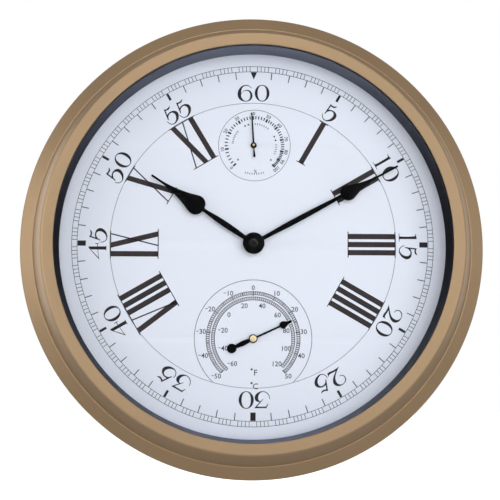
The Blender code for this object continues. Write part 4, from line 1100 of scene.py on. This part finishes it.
def makeScrew(name, node, place, headFront, tip):
    profile = [(0.0, 0.0), (screw["head"] * 0.75, 0.0, 0.5), (screw["head"], screw["height"] * 0.55, 0.25),
               (screw["head"], screw["height"], 0.1), (screw["shank"], screw["height"])]
    depth = screw["height"] + 0.3
    length = tip - headFront + screw["height"]
    while depth + screw["pitch"] < length - 0.8:
        profile += [(screw["root"], depth), (screw["shank"], depth + screw["pitch"] / 2)]
        depth += screw["pitch"]
    profile += [(screw["root"], depth), (0.6, length), (0.0, length)]
    body = turned(profile, steps=40, roundSteps=3)
    arms = []
    for x, y in ((screw["arm"], screw["slit"]), (screw["slit"], screw["arm"])):
        cutter = bmesh.new()
        addBar(cutter, -x, x, -y, y, -1.0, screw["slitDepth"])
        arms.append(cutter)
    body = carved(body, *arms)
    turn = Matrix.Rotation(radians(17.0 + 31.0 * len(bpy.data.objects)), 4, "Z")
    body.transform(Matrix.Translation((*place, headFront - screw["height"])) @ turn)
    addPiece(name, body, "zinc_steel", [node])


def makeScrews():
    for number, place in enumerate(coverScrewPlaces(), 1):
        makeScrew(f"coverScrew{number}", f"cover_screw_{number}", place, *screw["inCover"])
    for number, place in enumerate(hangerScrewPlaces(), 1):
        makeScrew(f"hangerScrew{number}", f"hanger_screw_{number}", place, *screw["inHanger"])


housing = {
    "half": 28.0, "low": -30.0, "high": 26.0, "split": 9.0, "front": 17.9, "bayTop": -11.9, "wall": 1.2,
    "bayWall": 1.5, "round": 2.6, "knob": (0.0, 16.0), "recess": 5.2, "recessDepth": 2.6, "boss": 6.4,
    "bore": 1.3, "panelDepth": 0.35, "signDepth": 0.4, "signHeight": -9.1, "signPlace": 22.5,
}


def makeHousing(size):
    half = size["half"]
    body = prism(boxCorners(-half, half, size["low"], size["high"], size["round"]), 0.0, size["front"], 0.3)
    inner = half - size["wall"]
    bay = half - size["bayWall"]
    cutters = [
        prism(boxCorners(-half - 1, half + 1, size["bayTop"], size["high"] + 1, 0.3), size["split"], 30.0),
        prism(boxCorners(-inner, inner, size["bayTop"] + size["wall"], size["high"] - size["wall"], 1.4),
              size["wall"], 12.0),
        prism(boxCorners(-bay, bay, size["low"] + size["bayWall"], size["bayTop"] - size["bayWall"], 1.2),
              -1.0, size["front"] - size["wall"]),
        prism(boxCorners(-half + 2.2, half - 2.2, -6.4, size["high"] - 2.2, 1.6), -1.0, size["panelDepth"]),
        rodAt(size["recess"], -1.0, 2.0, size["knob"]),
    ]
    for turn, place in ((30.0, -9.4), (-30.0, 9.4)):
        arrow = prism([(-1.1, -0.9), (1.1, -0.9), (0.0, 1.2)], -1.0, size["panelDepth"] + 0.3)
        arrow.transform(flat(turn, (place, size["knob"][1] + 1.5)))
        cutters.append(arrow)
    signs = [(size["signPlace"], 2.2, 0.5), (size["signPlace"], 0.5, 2.2), (-size["signPlace"], 2.2, 0.5)]
    for place, across, along in signs:
        mark = bmesh.new()
        addBar(mark, place - across, place + across, size["signHeight"] - along, size["signHeight"] + along,
               -1.0, size["signDepth"])
        cutters.append(mark)
    body = carved(body, *cutters)
    boss = turned([(size["recess"], 0.7), (size["boss"], 0.7, 0.2), (size["boss"], 3.8, 0.2),
                   (size["bore"], 3.8), (size["bore"], size["recessDepth"]),
                   (size["recess"], size["recessDepth"])], steps=64, roundSteps=2)
    addPart(body, boss, flat(0.0, size["knob"]))
    addPiece("movementHousing", body, "black_plastic", ["movement_rear_case"], sharp=25.0)


cell = {
    "half": 24.6, "radius": 7.0, "nub": 2.7, "nubEnd": 25.7, "middle": -20.95, "depth": 7.6,
    "sleeveBore": 6.84, "sleeves": (("cellSleeve", -23.4, 13.0), ("cellBand", 13.1, 23.5)),
}


def makeCell(size):
    lying = Matrix.Translation((0.0, size["middle"], size["depth"])) @ Matrix.Rotation(pi / 2, 4, "Y")
    end = size["half"]
    can = turned([(0.0, -end), (5.0, -end, 0.2), (6.3, -end + 0.05, 0.4), (6.86, -end + 0.7, 0.3),
                  (6.86, end - 0.5, 0.4), (6.0, end, 0.3), (3.4, end, 0.1), (size["nub"], end + 0.15),
                  (size["nub"], size["nubEnd"], 0.4), (0.0, size["nubEnd"])], steps=64)
    can.transform(lying)
    addPiece("cellCan", can, "cell_steel", ["battery"])
    for name, start, stop in size["sleeves"]:
        sleeve = turned([(size["sleeveBore"], start), (size["radius"], start, 0.05),
                         (size["radius"], stop, 0.05), (size["sleeveBore"], stop)], steps=64, roundSteps=1)
        sleeve.transform(lying)
        addPiece(name, sleeve, name, slotName="cell_steel")


makeCover(cover)
makeHanger(hanger)
makeScrews()
makeHousing(housing)
makeCell(cell)
print("back made")
